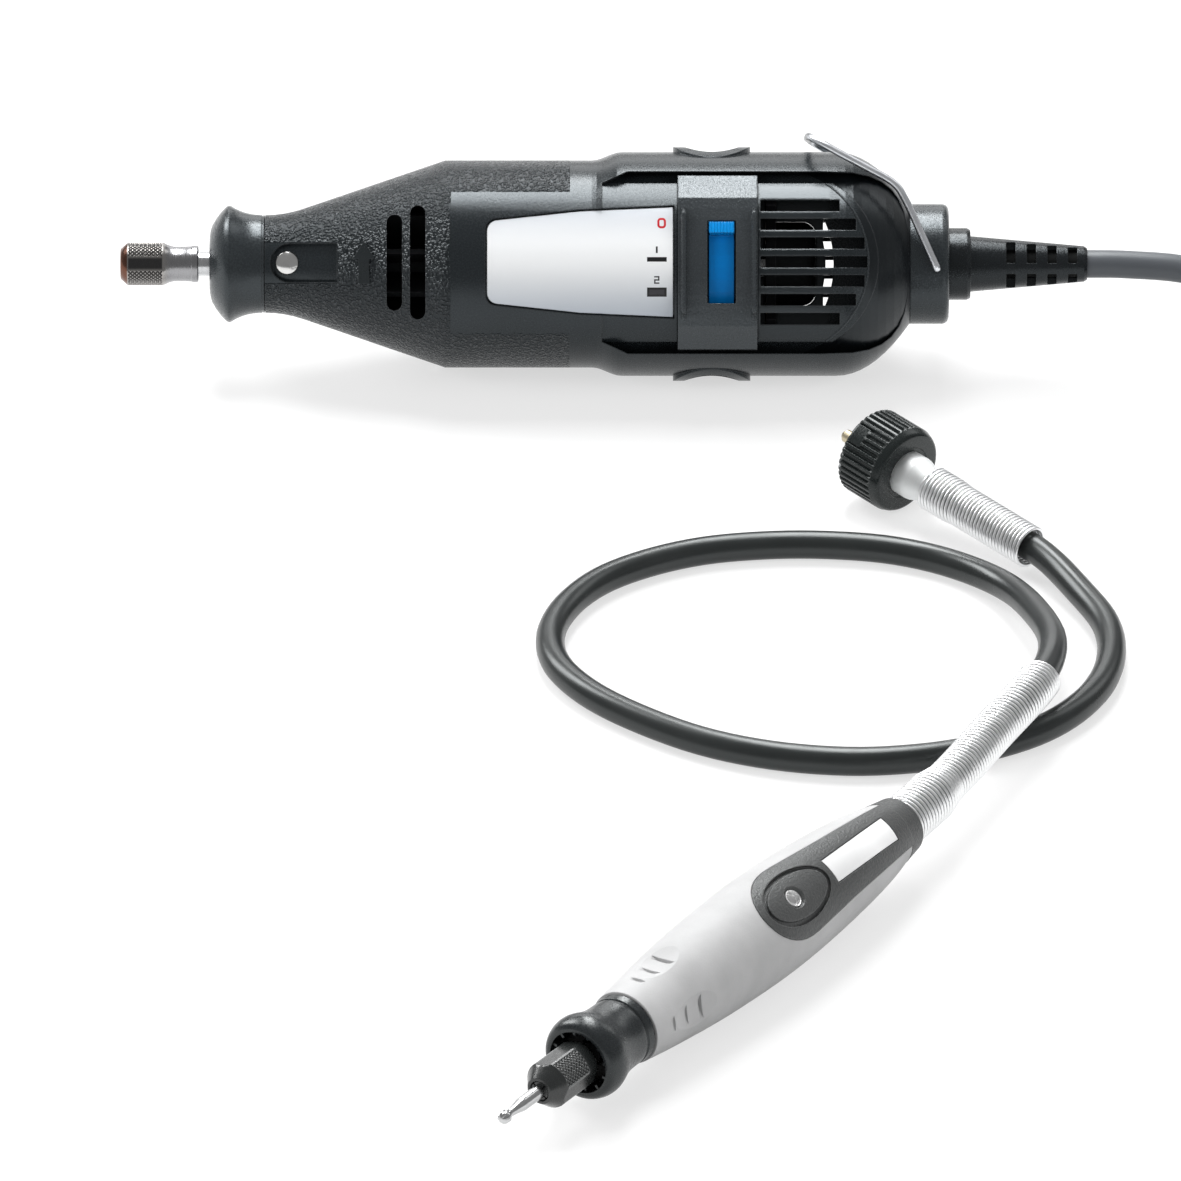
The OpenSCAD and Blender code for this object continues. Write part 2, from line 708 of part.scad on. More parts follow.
module nose_cap() {
    x = cap_x;
    seat = boss_x - 0.2;
    waist = neck_r;
    color("#2d3034") on_tool() turned(concat([[x, shaft_r + 0.7], [x, 6.9], [x + 0.6, 9.4],
        [x + 3.7, cap_flare_r - 0.6], [x + 4.2, cap_flare_r - 0.1], [x + 4.7, cap_flare_r],
        [x + 5.3, cap_flare_r - 0.15]],
        [for (i = [1:7]) let (t = i / 7)
            [x + 5.3 + (cap_len - 5.3) * t, waist + (cap_flare_r - 0.15 - waist) * pow(1 - t, 2.2)]],
        [[x + cap_len, thread_r + slip], [seat, thread_r + slip], [seat, shaft_r + 0.7]]));
}

nut_cavity_r = 3.58;
module milled_flats(x0, x1, r, flat) {
    for (a = [90, 210, 330]) rotate([a, 0, 0]) translate([x0, -r, flat]) cube([x1 - x0, 2 * r, r]);
}

module nut_body(len, r, front_bore) {
    hex_end = len * 0.52;
    waist = r * 0.865;
    flat = r * 0.93;
    difference() {
        turned([[0, 0], [0, r * 0.7], [1.7, r], [hex_end, r], [hex_end + 1.6, waist],
            [hex_end + 3.4, waist - 0.3], [len - 3, waist - 0.3], [len - 0.6, waist],
            [len, waist - 0.2], [len, 0]]);
        milled_flats(-1, hex_end + 1.2, r, flat);
        turned([[-1, 0], [-1, front_bore], [1.2, front_bore], [3.5, nut_cavity_r], [len + 1, nut_cavity_r],
            [len + 1, 0]]);
    }
}

module collet_nut() {
    color("#55585c") on_tool() nut_body(nut_len, nut_r, 2.3);
}

module collet_body(bore, len) {
    difference() {
        turned([[0.3, 0], [0.3, 2.15], [1.2, 2.15], [3.3, 3], [9.1, 3], [9.3, 2.35], [len, 2.35], [len, 0]]);
        tube(-1, len + 1, bore);
        for (a = [0, 90]) rotate([a, 0, 0]) translate([-1, -0.2, -5]) cube([9, 0.4, 10]);
    }
}

module collet() {
    color("#b9bcc0") on_tool() collet_body(shank_r, 15);
}

spindle_end = rear_seat_x + bearing_w + 1;
module spindle() {
    color("#c4c7cb") on_tool() difference() {
        union() {
            tube(9.6, nut_len - 0.1, nut_cavity_r - slip);
            tube(nut_len - 0.1, cap_x + 1, shaft_r - 0.1);
            tube(cap_x + 1 - eps, spindle_end, shaft_r);
        }
        tube(9, 16, 2.4);
        translate([lock_x, 0, 0]) rotate([90, 0, 0]) cylinder(h = 20, r = lock_pin_r + 0.1, center = true);
    }
}

// ---- motor ---------------------------------------------------------------

module armature_core() {
    color("#6b6e72") on_tool() difference() {
        tube(stator_x + 1, stator_x + stator_len - 1, stator_bore - 0.5, shaft_r + 0.01);
        for (i = [0:11]) rotate([30 * i, 0, 0]) translate([stator_x, -0.6, stator_bore - 3])
            cube([stator_len, 1.2, 4]);
    }
}

module armature_windings() {
    color("#b5651d") on_tool() for (x = [stator_x - 3.6, stator_x + stator_len - 0.8])
        difference() {
            turned([[x, shaft_r + 0.01], [x, 7.4], [x + 1.2, 9.2], [x + 3.2, 9.6], [x + 4.4, 9],
                [x + 4.4, shaft_r + 0.01]]);
        }
}

module commutator() {
    color("#b87333") on_tool() difference() {
        tube(brush_x - 6, brush_x + 6, commutator_r, shaft_r + 0.01);
        for (i = [0:15]) rotate([22.5 * i, 0, 0]) translate([brush_x - 7, -0.2, commutator_r - 0.8]) cube([14, 0.4, 2]);
    }
}

module cooling_fan() {
    color("#2b2b2d") on_tool() {
        tube(fan_x + fan_len - 1.4, fan_x + fan_len, fan_r, shaft_r + 0.01);
        tube(fan_x, fan_x + fan_len, 5.2, shaft_r + 0.01);
        for (i = [0:8]) rotate([40 * i, 0, 0]) translate([fan_x, -0.6, 4.9])
            cube([fan_len - 1.3, 1.2, fan_r - 5.1]);
    }
}

module stator_core() {
    color("#74777b") on_tool() difference() {
        tube(stator_x, stator_x + stator_len, cavity_r - 0.05, stator_bore);
        for (a = [0, 180]) rotate([a, 0, 0]) translate([stator_x - 1, stator_bore - 0.2, -coil_w / 2 - 0.2])
            cube([stator_len + 2, coil_out + 0.4 - stator_bore, coil_w + 0.4]);
    }
}

module field_coils() {
    color("#a3581a") on_tool() for (a = [0, 180]) rotate([a, 0, 0]) intersection() {
        translate([stator_x - 3.6, stator_bore, -coil_w / 2])
            cube([stator_len + 7.2, coil_out - stator_bore, coil_w]);
        tube(stator_x - 4, stator_x + stator_len + 4, cavity_r - 2, stator_bore + 0.4);
    }
}

module front_bearing() {
    color("#d0d3d6") on_tool()
        tube(front_seat_x + 0.1, front_seat_x + bearing_w - 0.1, bearing_r, shaft_r + run);
}

module rear_bearing() {
    color("#d0d3d6") on_tool() tube(rear_seat_x, rear_seat_x + bearing_w, 8, shaft_r + run);
}

// Spider that carries the rear bearing in a domed cup
module bearing_bracket() {
    color("#303236") on_tool() difference() {
        union() {
            tube(bracket_x, bracket_x + spider_t, cup_r + 1);
            turned(concat([[bracket_x, 0], [bracket_x, cup_r], [cup_end - cup_round, cup_r]],
                arc([cup_end - cup_round, cup_r - cup_round], cup_round, 90, 0, 5), [[cup_end, 0]]));
            intersection() {
                tube(bracket_x, bracket_x + spider_t, cavity_r - 0.05);
                union() for (a = [45, 135]) rotate([a, 0, 0])
                    translate([bracket_x, -3, -cavity_r]) cube([spider_t, 6, 2 * cavity_r]);
            }
        }
        tube(bracket_x - 1, rear_seat_x + 0.01, 5);
        tube(rear_seat_x - 0.01, rear_seat_x + bearing_w + 0.01, 8.02);
        tube(rear_seat_x, cup_end - 1.4, 5);
    }
}

module brush_holders() {
    length = brush_cap_seat - 0.2 - holder_low;
    color("#c9a24a") on_tool() for (a = [0, 180]) rotate([a, 0, 0]) difference() {
        translate([brush_x - 4, -3.4, holder_low]) cube([8, 6.8, length]);
        translate([brush_x - 3.2, -2.6, holder_low - 1]) cube([6.4, 5.2, length + 2]);
    }
}

module carbon_brushes() {
    color("#3a3a3a") on_tool() for (a = [0, 180]) rotate([a, 0, 0])
        translate([brush_x - 3.1, -2.5, commutator_r + gap]) cube([6.2, 5, brush_cap_seat - brush_spring_room - commutator_r - gap]);
}

// Screw-in brush cap with a driver slot, on the upper (1) or lower (-1) side
module brush_cap(side) {
    face = motor_r - 0.2;
    translate([brush_x, 0, 0]) rotate([side > 0 ? 0 : 180, 0, 0]) difference() {
        translate([0, 0, brush_cap_seat]) cylinder(h = face - brush_cap_seat, r = brush_cap_r);
        translate([-5, -0.7, face - 1.4]) cube([10, 1.4, 3]);
    }
}

module brush_cap_top() {
    color("#17181a") on_tool() brush_cap(1);
}

module brush_cap_bottom() {
    color("#17181a") on_tool() brush_cap(-1);
}

// ---- rear ----------------------------------------------------------------

bail_x = ring_x + 5.8;
bail_y = ring_r + wire_r + 0.4;
module hanger_ring() {
    color("#26282b") on_tool() difference() {
        turned(concat([[ring_x, 0], [ring_x, ring_r], [collar_x - 1.6, ring_r]],
            arc([collar_x - 1.6, ring_r - 1.6], 1.6, 90, 0, 5), [[collar_x, 0]]));
        tube(ring_x - 1, collar_x + 1, 7.4);
        for (s = [-1, 1]) translate([bail_x, s * ring_r, 0]) rotate([90, 0, 0])
            cylinder(h = 6.4, r = wire_r + 0.07, center = true);
    }
}

// Wire loop: ends in the ring, arms up over the tail, bar across at the top
bail_side = [[0.2, -0.6, 0], [-3.4, 7.3, 0], [-7, 15, 0], [-9.8, 19, 0], [-16, 22.6, 0],
    [-22.4, 26, 0], [-27.6, 28.9, 1], [-30, 30.3, 5.4]];
function bail_pt(p, side) = [bail_x + p[0], side * (bail_y - p[2]), p[1]];
bail_route = concat([for (p = bail_side) bail_pt(p, 1)], [bail_pt([-30, 30.3, bail_y], 1)],
    [for (i = [len(bail_side) - 1:-1:0]) bail_pt(bail_side[i], -1)]);
bail_rings = 44;
module hanger_bail() {
    n = len(bail_route) - 1;
    color("#d5d8dc") on_tool() {
        skin([for (i = [0:bail_rings - 1]) let (u = n * i / (bail_rings - 1),
            t = heading(bail_route, u), s = side_of(t))
            ring_at(curve(bail_route, u), s, cross(t, s), wire_r, 12)]);
        for (s = [-1, 1]) translate([bail_x, s * (bail_y - 1.7), 0]) rotate([90, 0, 0])
            cylinder(h = 3.4, r = wire_r, center = true);
    }
}

module cord_clamp() {
    color("#2f3134") on_tool() difference() {
        tube(ring_x - 5.6, ring_x - 1.2, 7.3, cord_d / 2 + 0.05);
        translate([ring_x - 7, -10, -0.3]) cube([7, 20, 0.6]);
    }
}

// Moulded cord guard with pairs of windows between its ribs
module strain_relief() {
    tip_r = cord_d / 2 + 0.95;
    root_r = 6.7;
    slot_w = 2.2;
    web = 1.8;
    color("#2a2c2e") on_tool() difference() {
        union() {
            tube(ring_x - 1.1, collar_x + eps, 7.3);
            turned([[collar_x, 0], [collar_x, 8.65], [relief_x - 0.8, 8.65], [relief_x, 8.2], [relief_x, 0]]);
            turned([[relief_x - eps, 0], [relief_x - eps, root_r], [tool_len - 0.8, tip_r],
                [tool_len, tip_r - 0.5], [tool_len, 0]]);
        }
        tube(ring_x - 2, tool_len + 1, cord_d / 2 + 0.05);
        for (i = [0:3]) for (s = [-1, 1]) {
            x = relief_x + 9.7 + 4.95 * i;
            top = root_r - (root_r - tip_r) * (x - relief_x) / relief_len - 0.9;
            side = s < 0 ? -10 : web / 2;
            translate([x - slot_w / 2, side, 0.1]) cube([slot_w, 10 - web / 2, top]);
            translate([x - slot_w / 2, side, -2.5 - top * 0.62]) cube([slot_w, 10 - web / 2, top * 0.62]);
        }
    }
}

// ---- mains lead ----------------------------------------------------------

module mains_cord() {
    color("#4b4e52") cord(cord_pts, cord_d, 18, 10);
}

module mains_coil() {
    color("#4b4e52") skin([for (i = [0:coil_steps]) let (w = i / loop_rings, a = coil_mid(w),
        t = unit(coil_mid(w + 0.002) - coil_mid(w - 0.002)), e1 = unit(coil_e1(w) - (coil_e1(w) * t) * t),
        e2 = cross(t, e1)) ring_at(a, e1, e2, cord_d / 2, 6)]);
}

module plug_lead() {
    color("#4b4e52") cord(lead_pts, cord_d, 12, 10);
}

module cord_tie() {
    z1 = coil_low + 3 * coil_layer + cord_d / 2 + 0.3;
    r_in = coil_r - coil_pitch * layer_turns - cord_d / 2 - 0.6;
    r_out = coil_r + cord_d / 2 + 0.6;
    color("#1c1d1f") translate([coil_centre[0], coil_centre[1], 0]) rotate([0, 0, 235])
        translate([0, 4, 0]) rotate([90, 0, 0]) linear_extrude(8) difference() {
            translate([r_in - 1, 0]) square([r_out - r_in + 2, z1 + 1]);
            translate([r_in, tie_t - 0.1]) square([r_out - r_in, z1 - tie_t + 0.1]);
        }
}

module plug_body() {
    grip_len_p = plug_len * 0.55;
    color("#34373a") translate([lead_x, plug_y, plug_t / 2]) rotate([90, 0, 0]) difference() {
        union() {
            linear_extrude(grip_len_p) round_section(plug_w * 0.62, plug_t * 0.86, 3);
            translate([0, 0, grip_len_p - eps]) linear_extrude(plug_len - grip_len_p)
                round_section(plug_w, plug_t, 4);
        }
        translate([0, 0, -1]) cylinder(h = 9, r = cord_d / 2 + 0.05);
    }
}

module round_section(w, h, r) {
    polygon(concat(arc([w / 2 - r, h / 2 - r], r, 0, 90, 6), arc([-w / 2 + r, h / 2 - r], r, 90, 180, 6),
        arc([-w / 2 + r, -h / 2 + r], r, 180, 270, 6), arc([w / 2 - r, -h / 2 + r], r, 270, 360, 6)));
}

module plug_pins() {
    color("#c8cbce") for (s = [-1, 1]) translate([lead_x + s * 9.3, plug_y - plug_len, plug_t / 2])
        rotate([90, 0, 0]) {
            cylinder(h = 18, r = 2);
            translate([0, 0, 18 - eps]) cylinder(h = 1, r1 = 2, r2 = 1.3);
        }
}

// ---- handpiece -----------------------------------------------------------

// Girths of the grip: share of its length, share of its largest radius
grip_shares = [[0, 0.7045], [0.092, 0.7976], [0.24, 0.915], [0.373, 0.9757], [0.498, 1],
    [0.622, 0.9757], [0.756, 0.9028], [0.88, 0.8016], [0.956, 0.7045], [1, 0.6275],
    [1.054, 0.5587]];
function grip_pt(u) = curve([for (p = grip_shares)
    [hand_grip_x + p[0] * hand_grip_len, p[1] * hand_r, 0]], u);
grip_steps = 30;
module grip_solid(grow) {
    n = len(grip_shares) - 1;
    turned(concat([[hand_grip_x, 0]], [for (i = [0:grip_steps]) let (p = grip_pt(n * i / grip_steps))
        [p[0], p[1] + grow]], [[grip_pt(n)[0], 0]]));
}

// Panel outline in the top view: egg-shaped front, narrowing towards the rear ring
panel_nose = [13.9, 9.05];
module hand_panel_outline(grow) {
    w1 = 7.6 + grow;
    w2 = 5.8 + grow;
    polygon(concat([for (i = [0:20]) let (a = 82 + 196 * i / 20)
        [island_x + (panel_nose[0] + grow) * cos(a), (panel_nose[1] + grow) * sin(a)]],
        [[lock_hole_x + 20, -w1], [hand_ring_x + 1, -w2], [hand_ring_x + 1, w2], [lock_hole_x + 20, w1]]));
}

// Extrudes an outline drawn in the top view (x, y) from z0 up
module top_cut(z0) {
    translate([0, 0, z0]) linear_extrude(40) children();
}

core_r = 6;
hand_boss_r = 7;
bush_r = 3.4;
bush_top = hand_r - 2.2;
module lock_hole(grow = 0) {
    translate([lock_hole_x, 0, 0]) cylinder(h = 20, r = lock_hole_r + grow);
}

module hand_core() {
    bearing_bore = hand_bearing_r + 0.02;
    front = hand_bearing_x[0] - 2.5;
    color("#8d9094") on_hand() difference() {
        union() {
            tube(front, hand_grip_x - 0.1, hand_boss_r);
            tube(hand_grip_x - 0.1 - eps, hand_len - 16, core_r);
            // bush that lines the lock-pin hole up to the panel
            translate([lock_hole_x, 0, core_r - 0.8]) cylinder(h = bush_top - core_r + 0.8, r = bush_r);
        }
        tube(front - 1, front + 2.4, hand_shaft_r + 0.9);
        tube(front + 1.4, hand_len - 15, bearing_bore);
        translate([lock_hole_x, 0, 0]) cylinder(h = 20, r = lock_pin_hole_r);
        translate([lock_hole_x, 0, core_r]) cylinder(h = bush_top - core_r + eps, r1 = lock_pin_hole_r,
            r2 = lock_hole_r);
    }
}

module hand_grip() {
    color("#bababa") on_hand() difference() {
        intersection() {
            grip_solid(0);
            tube(hand_grip_x, hand_ring_x, 20);
        }
        tube(hand_grip_x - 1, hand_len, core_r + 0.05);
        intersection() {
            top_cut(0) hand_panel_outline(0.05);
            difference() {
                tube(hand_grip_x, hand_len, 20);
                grip_solid(-1.6);
            }
        }
        lock_hole(bush_r + slip - lock_hole_r);
        // two shallow finger rests ahead of the panel, each with three cross grooves
        for (a = [-rest_angle, rest_angle]) rotate([a, 0, 0]) {
            translate([rest_x, 0, rest_seat + rest_r]) sphere(r = rest_r);
            for (i = [-1:1]) translate([rest_x + 5 * i, 0, rest_seat + 0.2 * abs(i) - 0.55 + 5])
                along_x() cylinder(h = 1.1, r = 5, center = true);
        }
    }
}

module hand_panel() {
    color("#3a3c3f") on_hand() difference() {
        union() {
            intersection() {
                top_cut(0) hand_panel_outline(0);
                difference() {
                    grip_solid(0.25);
                    grip_solid(-1.55);
                }
                tube(hand_grip_x, hand_ring_x + eps, 20);
            }
            intersection() {
                grip_solid(0.1);
                tube(hand_ring_x, hand_len + 1, 20);
            }
        }
        tube(hand_ring_x - 1, hand_len + 2, hand_spring_r0 + spring_wire / 2 + 0.17);
        lock_hole();
        translate([lock_hole_x, 0, hand_r - 0.7]) cylinder(h = 1.2, r1 = lock_hole_r, r2 = lock_hole_r + 1.2);
        // groove round the thumb island
        difference() {
            top_cut(0) island(0.6);
            top_cut(0) island(-0.6);
            grip_solid(-0.5);
        }
        // bed of the sticker
        difference() {
            translate([sticker_x - 0.2, -sticker_half - 0.2, 0])
                cube([sticker_len + 0.4, 2 * sticker_half + 0.4, 20]);
            grip_solid(-0.2);
        }
    }
}

// Outline of the thumb island in the top view
module island(grow) {
    polygon([for (i = [0:31]) [island_x + (11.3 + grow) * cos(i * 360 / 32),
        (5.8 + grow) * sin(i * 360 / 32)]]);
}

module panel_label() {
    color("white") on_hand() intersection() {
        translate([sticker_x, -sticker_half, 0]) cube([sticker_len, 2 * sticker_half, 20]);
        difference() {
            grip_solid(0.15);
            grip_solid(-0.19);
        }
    }
}

module hand_collar() {
    x = hand_collar_x;
    color("#2b2d30") on_hand() turned([[x, 7.4], [x, 8.2], [x + 1.3, 9.4], [x + 2.8, 9.9], [x + 4.4, 9.95],
        [x + 6, 9.55], [x + 8.5, 8.8], [x + 11.5, 8.3], [x + 15.4, 8.15], [x + 16, 7.9], [x + 16.4, 8.2],
        [x + 18.4, 8.4], [x + 18.4, hand_boss_r + slip], [36.2, hand_boss_r + slip], [36.2, 7.4]]);
}

module hand_front_bearing() {
    color("#d0d3d6") on_hand() tube(hand_bearing_x[0], hand_bearing_x[0] + hand_bearing_w, hand_bearing_r,
        hand_shaft_r + run);
}

module hand_rear_bearing() {
    color("#d0d3d6") on_hand() tube(hand_bearing_x[1], hand_bearing_x[1] + hand_bearing_w, hand_bearing_r,
        hand_shaft_r + run);
}

module hand_spindle() {
    color("#c9ccd0") on_hand() difference() {
        union() {
            tube(hand_nut_x + 8.6, hand_nut_x + hand_nut_len - 0.1, nut_cavity_r - slip);
            tube(hand_nut_x + hand_nut_len - 0.1 - eps, hand_len - 18, hand_shaft_r);
        }
        tube(hand_nut_x + 8, hand_nut_x + 13.4, 2.4);
    }
}

module hand_collet() {
    color("#b9bcc0") on_hand() translate([hand_nut_x, 0, 0]) difference() {
        turned([[0.3, 0], [0.3, 2.15], [1.2, 2.15], [3.3, 3], [8.1, 3], [8.3, 2.35], [13, 2.35], [13, 0]]);
        tube(-1, 14, shank_r + 0.02);
        for (a = [0, 90]) rotate([a, 0, 0]) translate([-1, -0.2, -5]) cube([8, 0.4, 10]);
    }
}

module hand_nut() {
    r = hand_nut_r;
    len = hand_nut_len;
    color("#2c2e31") on_hand() translate([hand_nut_x, 0, 0]) difference() {
        turned([[0, 0], [0, r * 0.58], [0.5, r * 0.71], [3, r], [len - 0.6, r], [len, r - 0.5], [len, 0]]);
        rotate([-24, 0, 0]) milled_flats(-1, len + 1, r, r * 0.92);
        turned([[-1, 0], [-1, 2.3], [1.2, 2.3], [3.5, nut_cavity_r], [len + 1, nut_cavity_r], [len + 1, 0]]);
    }
}

module ball_cutter() {
    ball = 1.6;
    color("#d9dbde") on_hand() {
        intersection() {
            translate([ball, 0, 0]) sphere(r = ball, $fn = 32);
            tube(0, 2 * ball, 2);
        }
        turned([[2.4, 0], [2.4, 1.05], [4, 1.05], [8.2, shank_r], [27.5, shank_r], [28, shank_r - 0.3], [28, 0]]);
    }
}

// ---- flexible shaft ------------------------------------------------------

module hand_spring() {
    color("#c9cdd1") skin(spring_rings(sheath_pts, hand_spring_u[0], hand_spring_u[1], hand_curls,
        hand_spring_r0, hand_spring_r1, 0.22));
}

module coupling_spring() {
    color("#c9cdd1") skin(spring_rings(tail_pts, 0, 2, tail_curls, tail_spring_r0, tail_spring_r1, 0.22));
}

module flex_sheath() {
    color("#1d1f20") cord(sheath_pts, sheath_d, 54, 10, 0.55);
}

module coupling_ferrule() {
    bore = core_wire_r + slip;
    color("#9aa0a4") on_coupling() turned([[15.4, bore], [15.4, 8.4], [17.4, 8.4], [17.4, ferrule_r],
        [24.2, ferrule_r], [25, ferrule_r - 0.1], [28.2, 4.2], [29, 3.9], [ferrule_end, 3.9],
        [ferrule_end, bore]]);
}

module coupling_nut() {
    rib_h = 0.7;
    step = 360 / coupling_ribs;
    x0 = coupling_x;
    color("#1e2022") on_coupling() difference() {
        union() {
            translate([x0, 0, 0]) along_x() linear_extrude(coupling_len - 2) polygon([for (i = [0:coupling_ribs - 1])
                each [for (q = [[-0.42, 0], [-0.24, 1], [0.24, 1], [0.42, 0]])
                    let (r = coupling_r - rib_h * (1 - q[1]), a = step * (i + q[0])) r * [cos(a), sin(a)]]]);
            turned([[x0 + coupling_len - 2 - eps, 0], [x0 + coupling_len - 2 - eps, coupling_r - 0.2],
                [x0 + coupling_len - 0.8, coupling_r - 0.5], [x0 + coupling_len, coupling_r - 1.3],
                [x0 + coupling_len, 0]]);
        }
        tube(x0 - 1, 17.7, thread_r + slip);
        tube(17, x0 + coupling_len + 1, ferrule_r + slip);
    }
}

module drive_tip() {
    color("#c2b280") on_coupling() turned([[0, 0], [0, 0.9], [0.8, shank_r], [15.2, shank_r],
        [15.2, core_wire_r], [30, core_wire_r], [30, 0]]);
}

echo(least_gap_hand_spring = least_gap(spring_mids(sheath_pts, hand_spring_u[0], hand_spring_u[1],
    hand_curls, hand_spring_r0, hand_spring_r1, 0.22), curl_rings, spring_wire));
echo(least_gap_coupling_spring = least_gap(spring_mids(tail_pts, 0, 2, tail_curls, tail_spring_r0,
    tail_spring_r1, 0.22), curl_rings, spring_wire));
coil_mids = [for (i = [0:coil_steps]) coil_mid(i / loop_rings)];
echo(least_gap_mains_coil = min([for (i = [0:coil_steps]) for (j = [i + 12:1:coil_steps])
    norm(coil_mids[i] - coil_mids[j])]) - cord_d);
echo(coil_length = sum_steps(coil_mids, 0, 0));
function sum_steps(p, i, s) = i > len(p) - 2 ? s : sum_steps(p, i + 1, s + norm(p[i + 1] - p[i]));
echo(sheath_length = sum_steps([for (i = [0:200]) curve(sheath_pts, tail_n * i / 200)], 0, 0));
echo(tool_len = tool_len);

housing_label_half();
housing_back_half();
housing_screws();
side_label();
switch_saddle();
switch_module();
switch_slider();
lock_button();
nose_cap();
collet_nut();
collet();
spindle();
armature_core();
armature_windings();
commutator();
cooling_fan();
stator_core();
field_coils();
front_bearing();
rear_bearing();
bearing_bracket();
brush_holders();
carbon_brushes();
brush_cap_top();
brush_cap_bottom();
hanger_ring();
hanger_bail();
cord_clamp();
strain_relief();
mains_cord();
mains_coil();
plug_lead();
cord_tie();
plug_body();
plug_pins();
hand_core();
hand_grip();
hand_panel();
panel_label();
hand_collar();
hand_front_bearing();
hand_rear_bearing();
hand_spindle();
hand_collet();
hand_nut();
ball_cutter();
hand_spring();
flex_sheath();
coupling_spring();
coupling_ferrule();
coupling_nut();
drive_tip();
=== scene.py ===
"""Corded rotary tool beside its flexible shaft and handpiece."""
import bpy
from math import cos, degrees, dist, floor, pi, radians, sin, sqrt
from mathutils import Matrix, Vector
from mathutils.bvhtree import BVHTree


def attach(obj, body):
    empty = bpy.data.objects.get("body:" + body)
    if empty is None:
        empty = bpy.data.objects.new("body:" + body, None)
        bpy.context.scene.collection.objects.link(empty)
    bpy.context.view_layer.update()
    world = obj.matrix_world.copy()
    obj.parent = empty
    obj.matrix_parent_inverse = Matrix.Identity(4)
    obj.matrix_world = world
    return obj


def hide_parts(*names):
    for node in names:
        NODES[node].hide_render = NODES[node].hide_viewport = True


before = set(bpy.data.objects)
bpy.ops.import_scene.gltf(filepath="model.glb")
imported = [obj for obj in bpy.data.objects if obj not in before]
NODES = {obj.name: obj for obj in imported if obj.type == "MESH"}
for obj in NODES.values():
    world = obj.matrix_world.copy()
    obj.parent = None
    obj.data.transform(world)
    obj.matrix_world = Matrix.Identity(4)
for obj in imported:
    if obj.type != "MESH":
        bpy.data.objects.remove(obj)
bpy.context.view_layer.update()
MM = 0.001


# ---- where the three pieces lie ----

def turn(degrees, axis):
    return Matrix.Rotation(radians(degrees), 4, axis)


TOOL_LEN = 232.2
TOOL_Y = 179.5
TOOL_Z = 26.9
TOOL_ROLL = 28.0
TOOL = Matrix.Translation((-TOOL_LEN / 2, TOOL_Y, TOOL_Z)) @ turn(-TOOL_ROLL, "X")

# the handpiece rests on the widest part of its grip
HAND_TILT = 0.45
HAND_HEADING = 55.8
HAND_ROLL = 40
GRIP_X = 101
GRIP_R = 12.35
HAND_Z = GRIP_R / cos(radians(HAND_TILT)) - GRIP_X * sin(radians(HAND_TILT))
HAND_AXIS = (Matrix.Translation((-23, -206.8, HAND_Z)) @ turn(HAND_HEADING, "Z")
             @ turn(-HAND_TILT, "Y"))
HAND = HAND_AXIS @ turn(HAND_ROLL, "X")

# the coupling rests on the rear edge of its ribs
COUPLING_TILT = 6.5
COUPLING_HEADING = -45.5
COUPLING_R = 10.75
RIBS_END = 19.2
COUPLING_Z = (COUPLING_R * cos(radians(COUPLING_TILT))
              + RIBS_END * sin(radians(COUPLING_TILT)))
COUPLING = (Matrix.Translation((57, 117.7, COUPLING_Z)) @ turn(COUPLING_HEADING, "Z")
            @ turn(COUPLING_TILT, "Y"))


def metres(point):
    return tuple(c * MM for c in point)


# ---- camera ----

CAMERA_AIM = Vector((-0.0032, 0.06295, 0))
CAMERA_DISTANCE = 3.85106
CAMERA_HEIGHT = 28    # degrees above the table, square to the tool's label
FOCAL_LENGTH = 500


def show(name, data):
    """A new object in the scene."""
    item = bpy.data.objects.new(name, data)
    bpy.context.scene.collection.objects.link(item)
    return item


def set_camera():
    lens = bpy.data.cameras.new("camera")
    lens.lens = FOCAL_LENGTH
    lens.sensor_width = 36
    lens.clip_end = 30
    camera = show("camera", lens)
    up = radians(CAMERA_HEIGHT)
    back = Vector((0, -cos(up), sin(up)))
    camera.location = CAMERA_AIM + back * CAMERA_DISTANCE
    camera.rotation_euler = (-back).to_track_quat("-Z", "Y").to_euler()
    bpy.context.scene.camera = camera


set_camera()


# ---- routes of the cords ----

def route_value(points, u):
    """Smooth curve through the points, as in the solids: u runs from 0 to the last index."""
    n = len(points)
    i = min(int(floor(u)), n - 2)
    t = u - i
    b, c = Vector(points[i]), Vector(points[i + 1])
    a = Vector(points[i - 1]) if i > 0 else 2 * b - c
    d = Vector(points[i + 2]) if i + 2 < n else 2 * c - b
    return 0.5 * (2 * b + (c - a) * t + (2 * a - 5 * b + 4 * c - d) * t * t
                  + (3 * b - a - 3 * c + d) * t ** 3)


def route_heading(points, u):
    last = len(points) - 1
    step = route_value(points, min(last, u + 0.02)) - route_value(points, max(0, u - 0.02))
    return step.normalized()


def route_points(route, start, count):
    """Points of a route's curve, from a place on it to its end."""
    n = len(route) - 1
    return [route_value(route, start + (n - start) * i / count) for i in range(count + 1)]


def hand_point(x):
    return tuple(HAND_AXIS @ Vector((x, 0, 0)))


def coupling_point(x):
    return tuple(COUPLING @ Vector((x, 0, 0)))


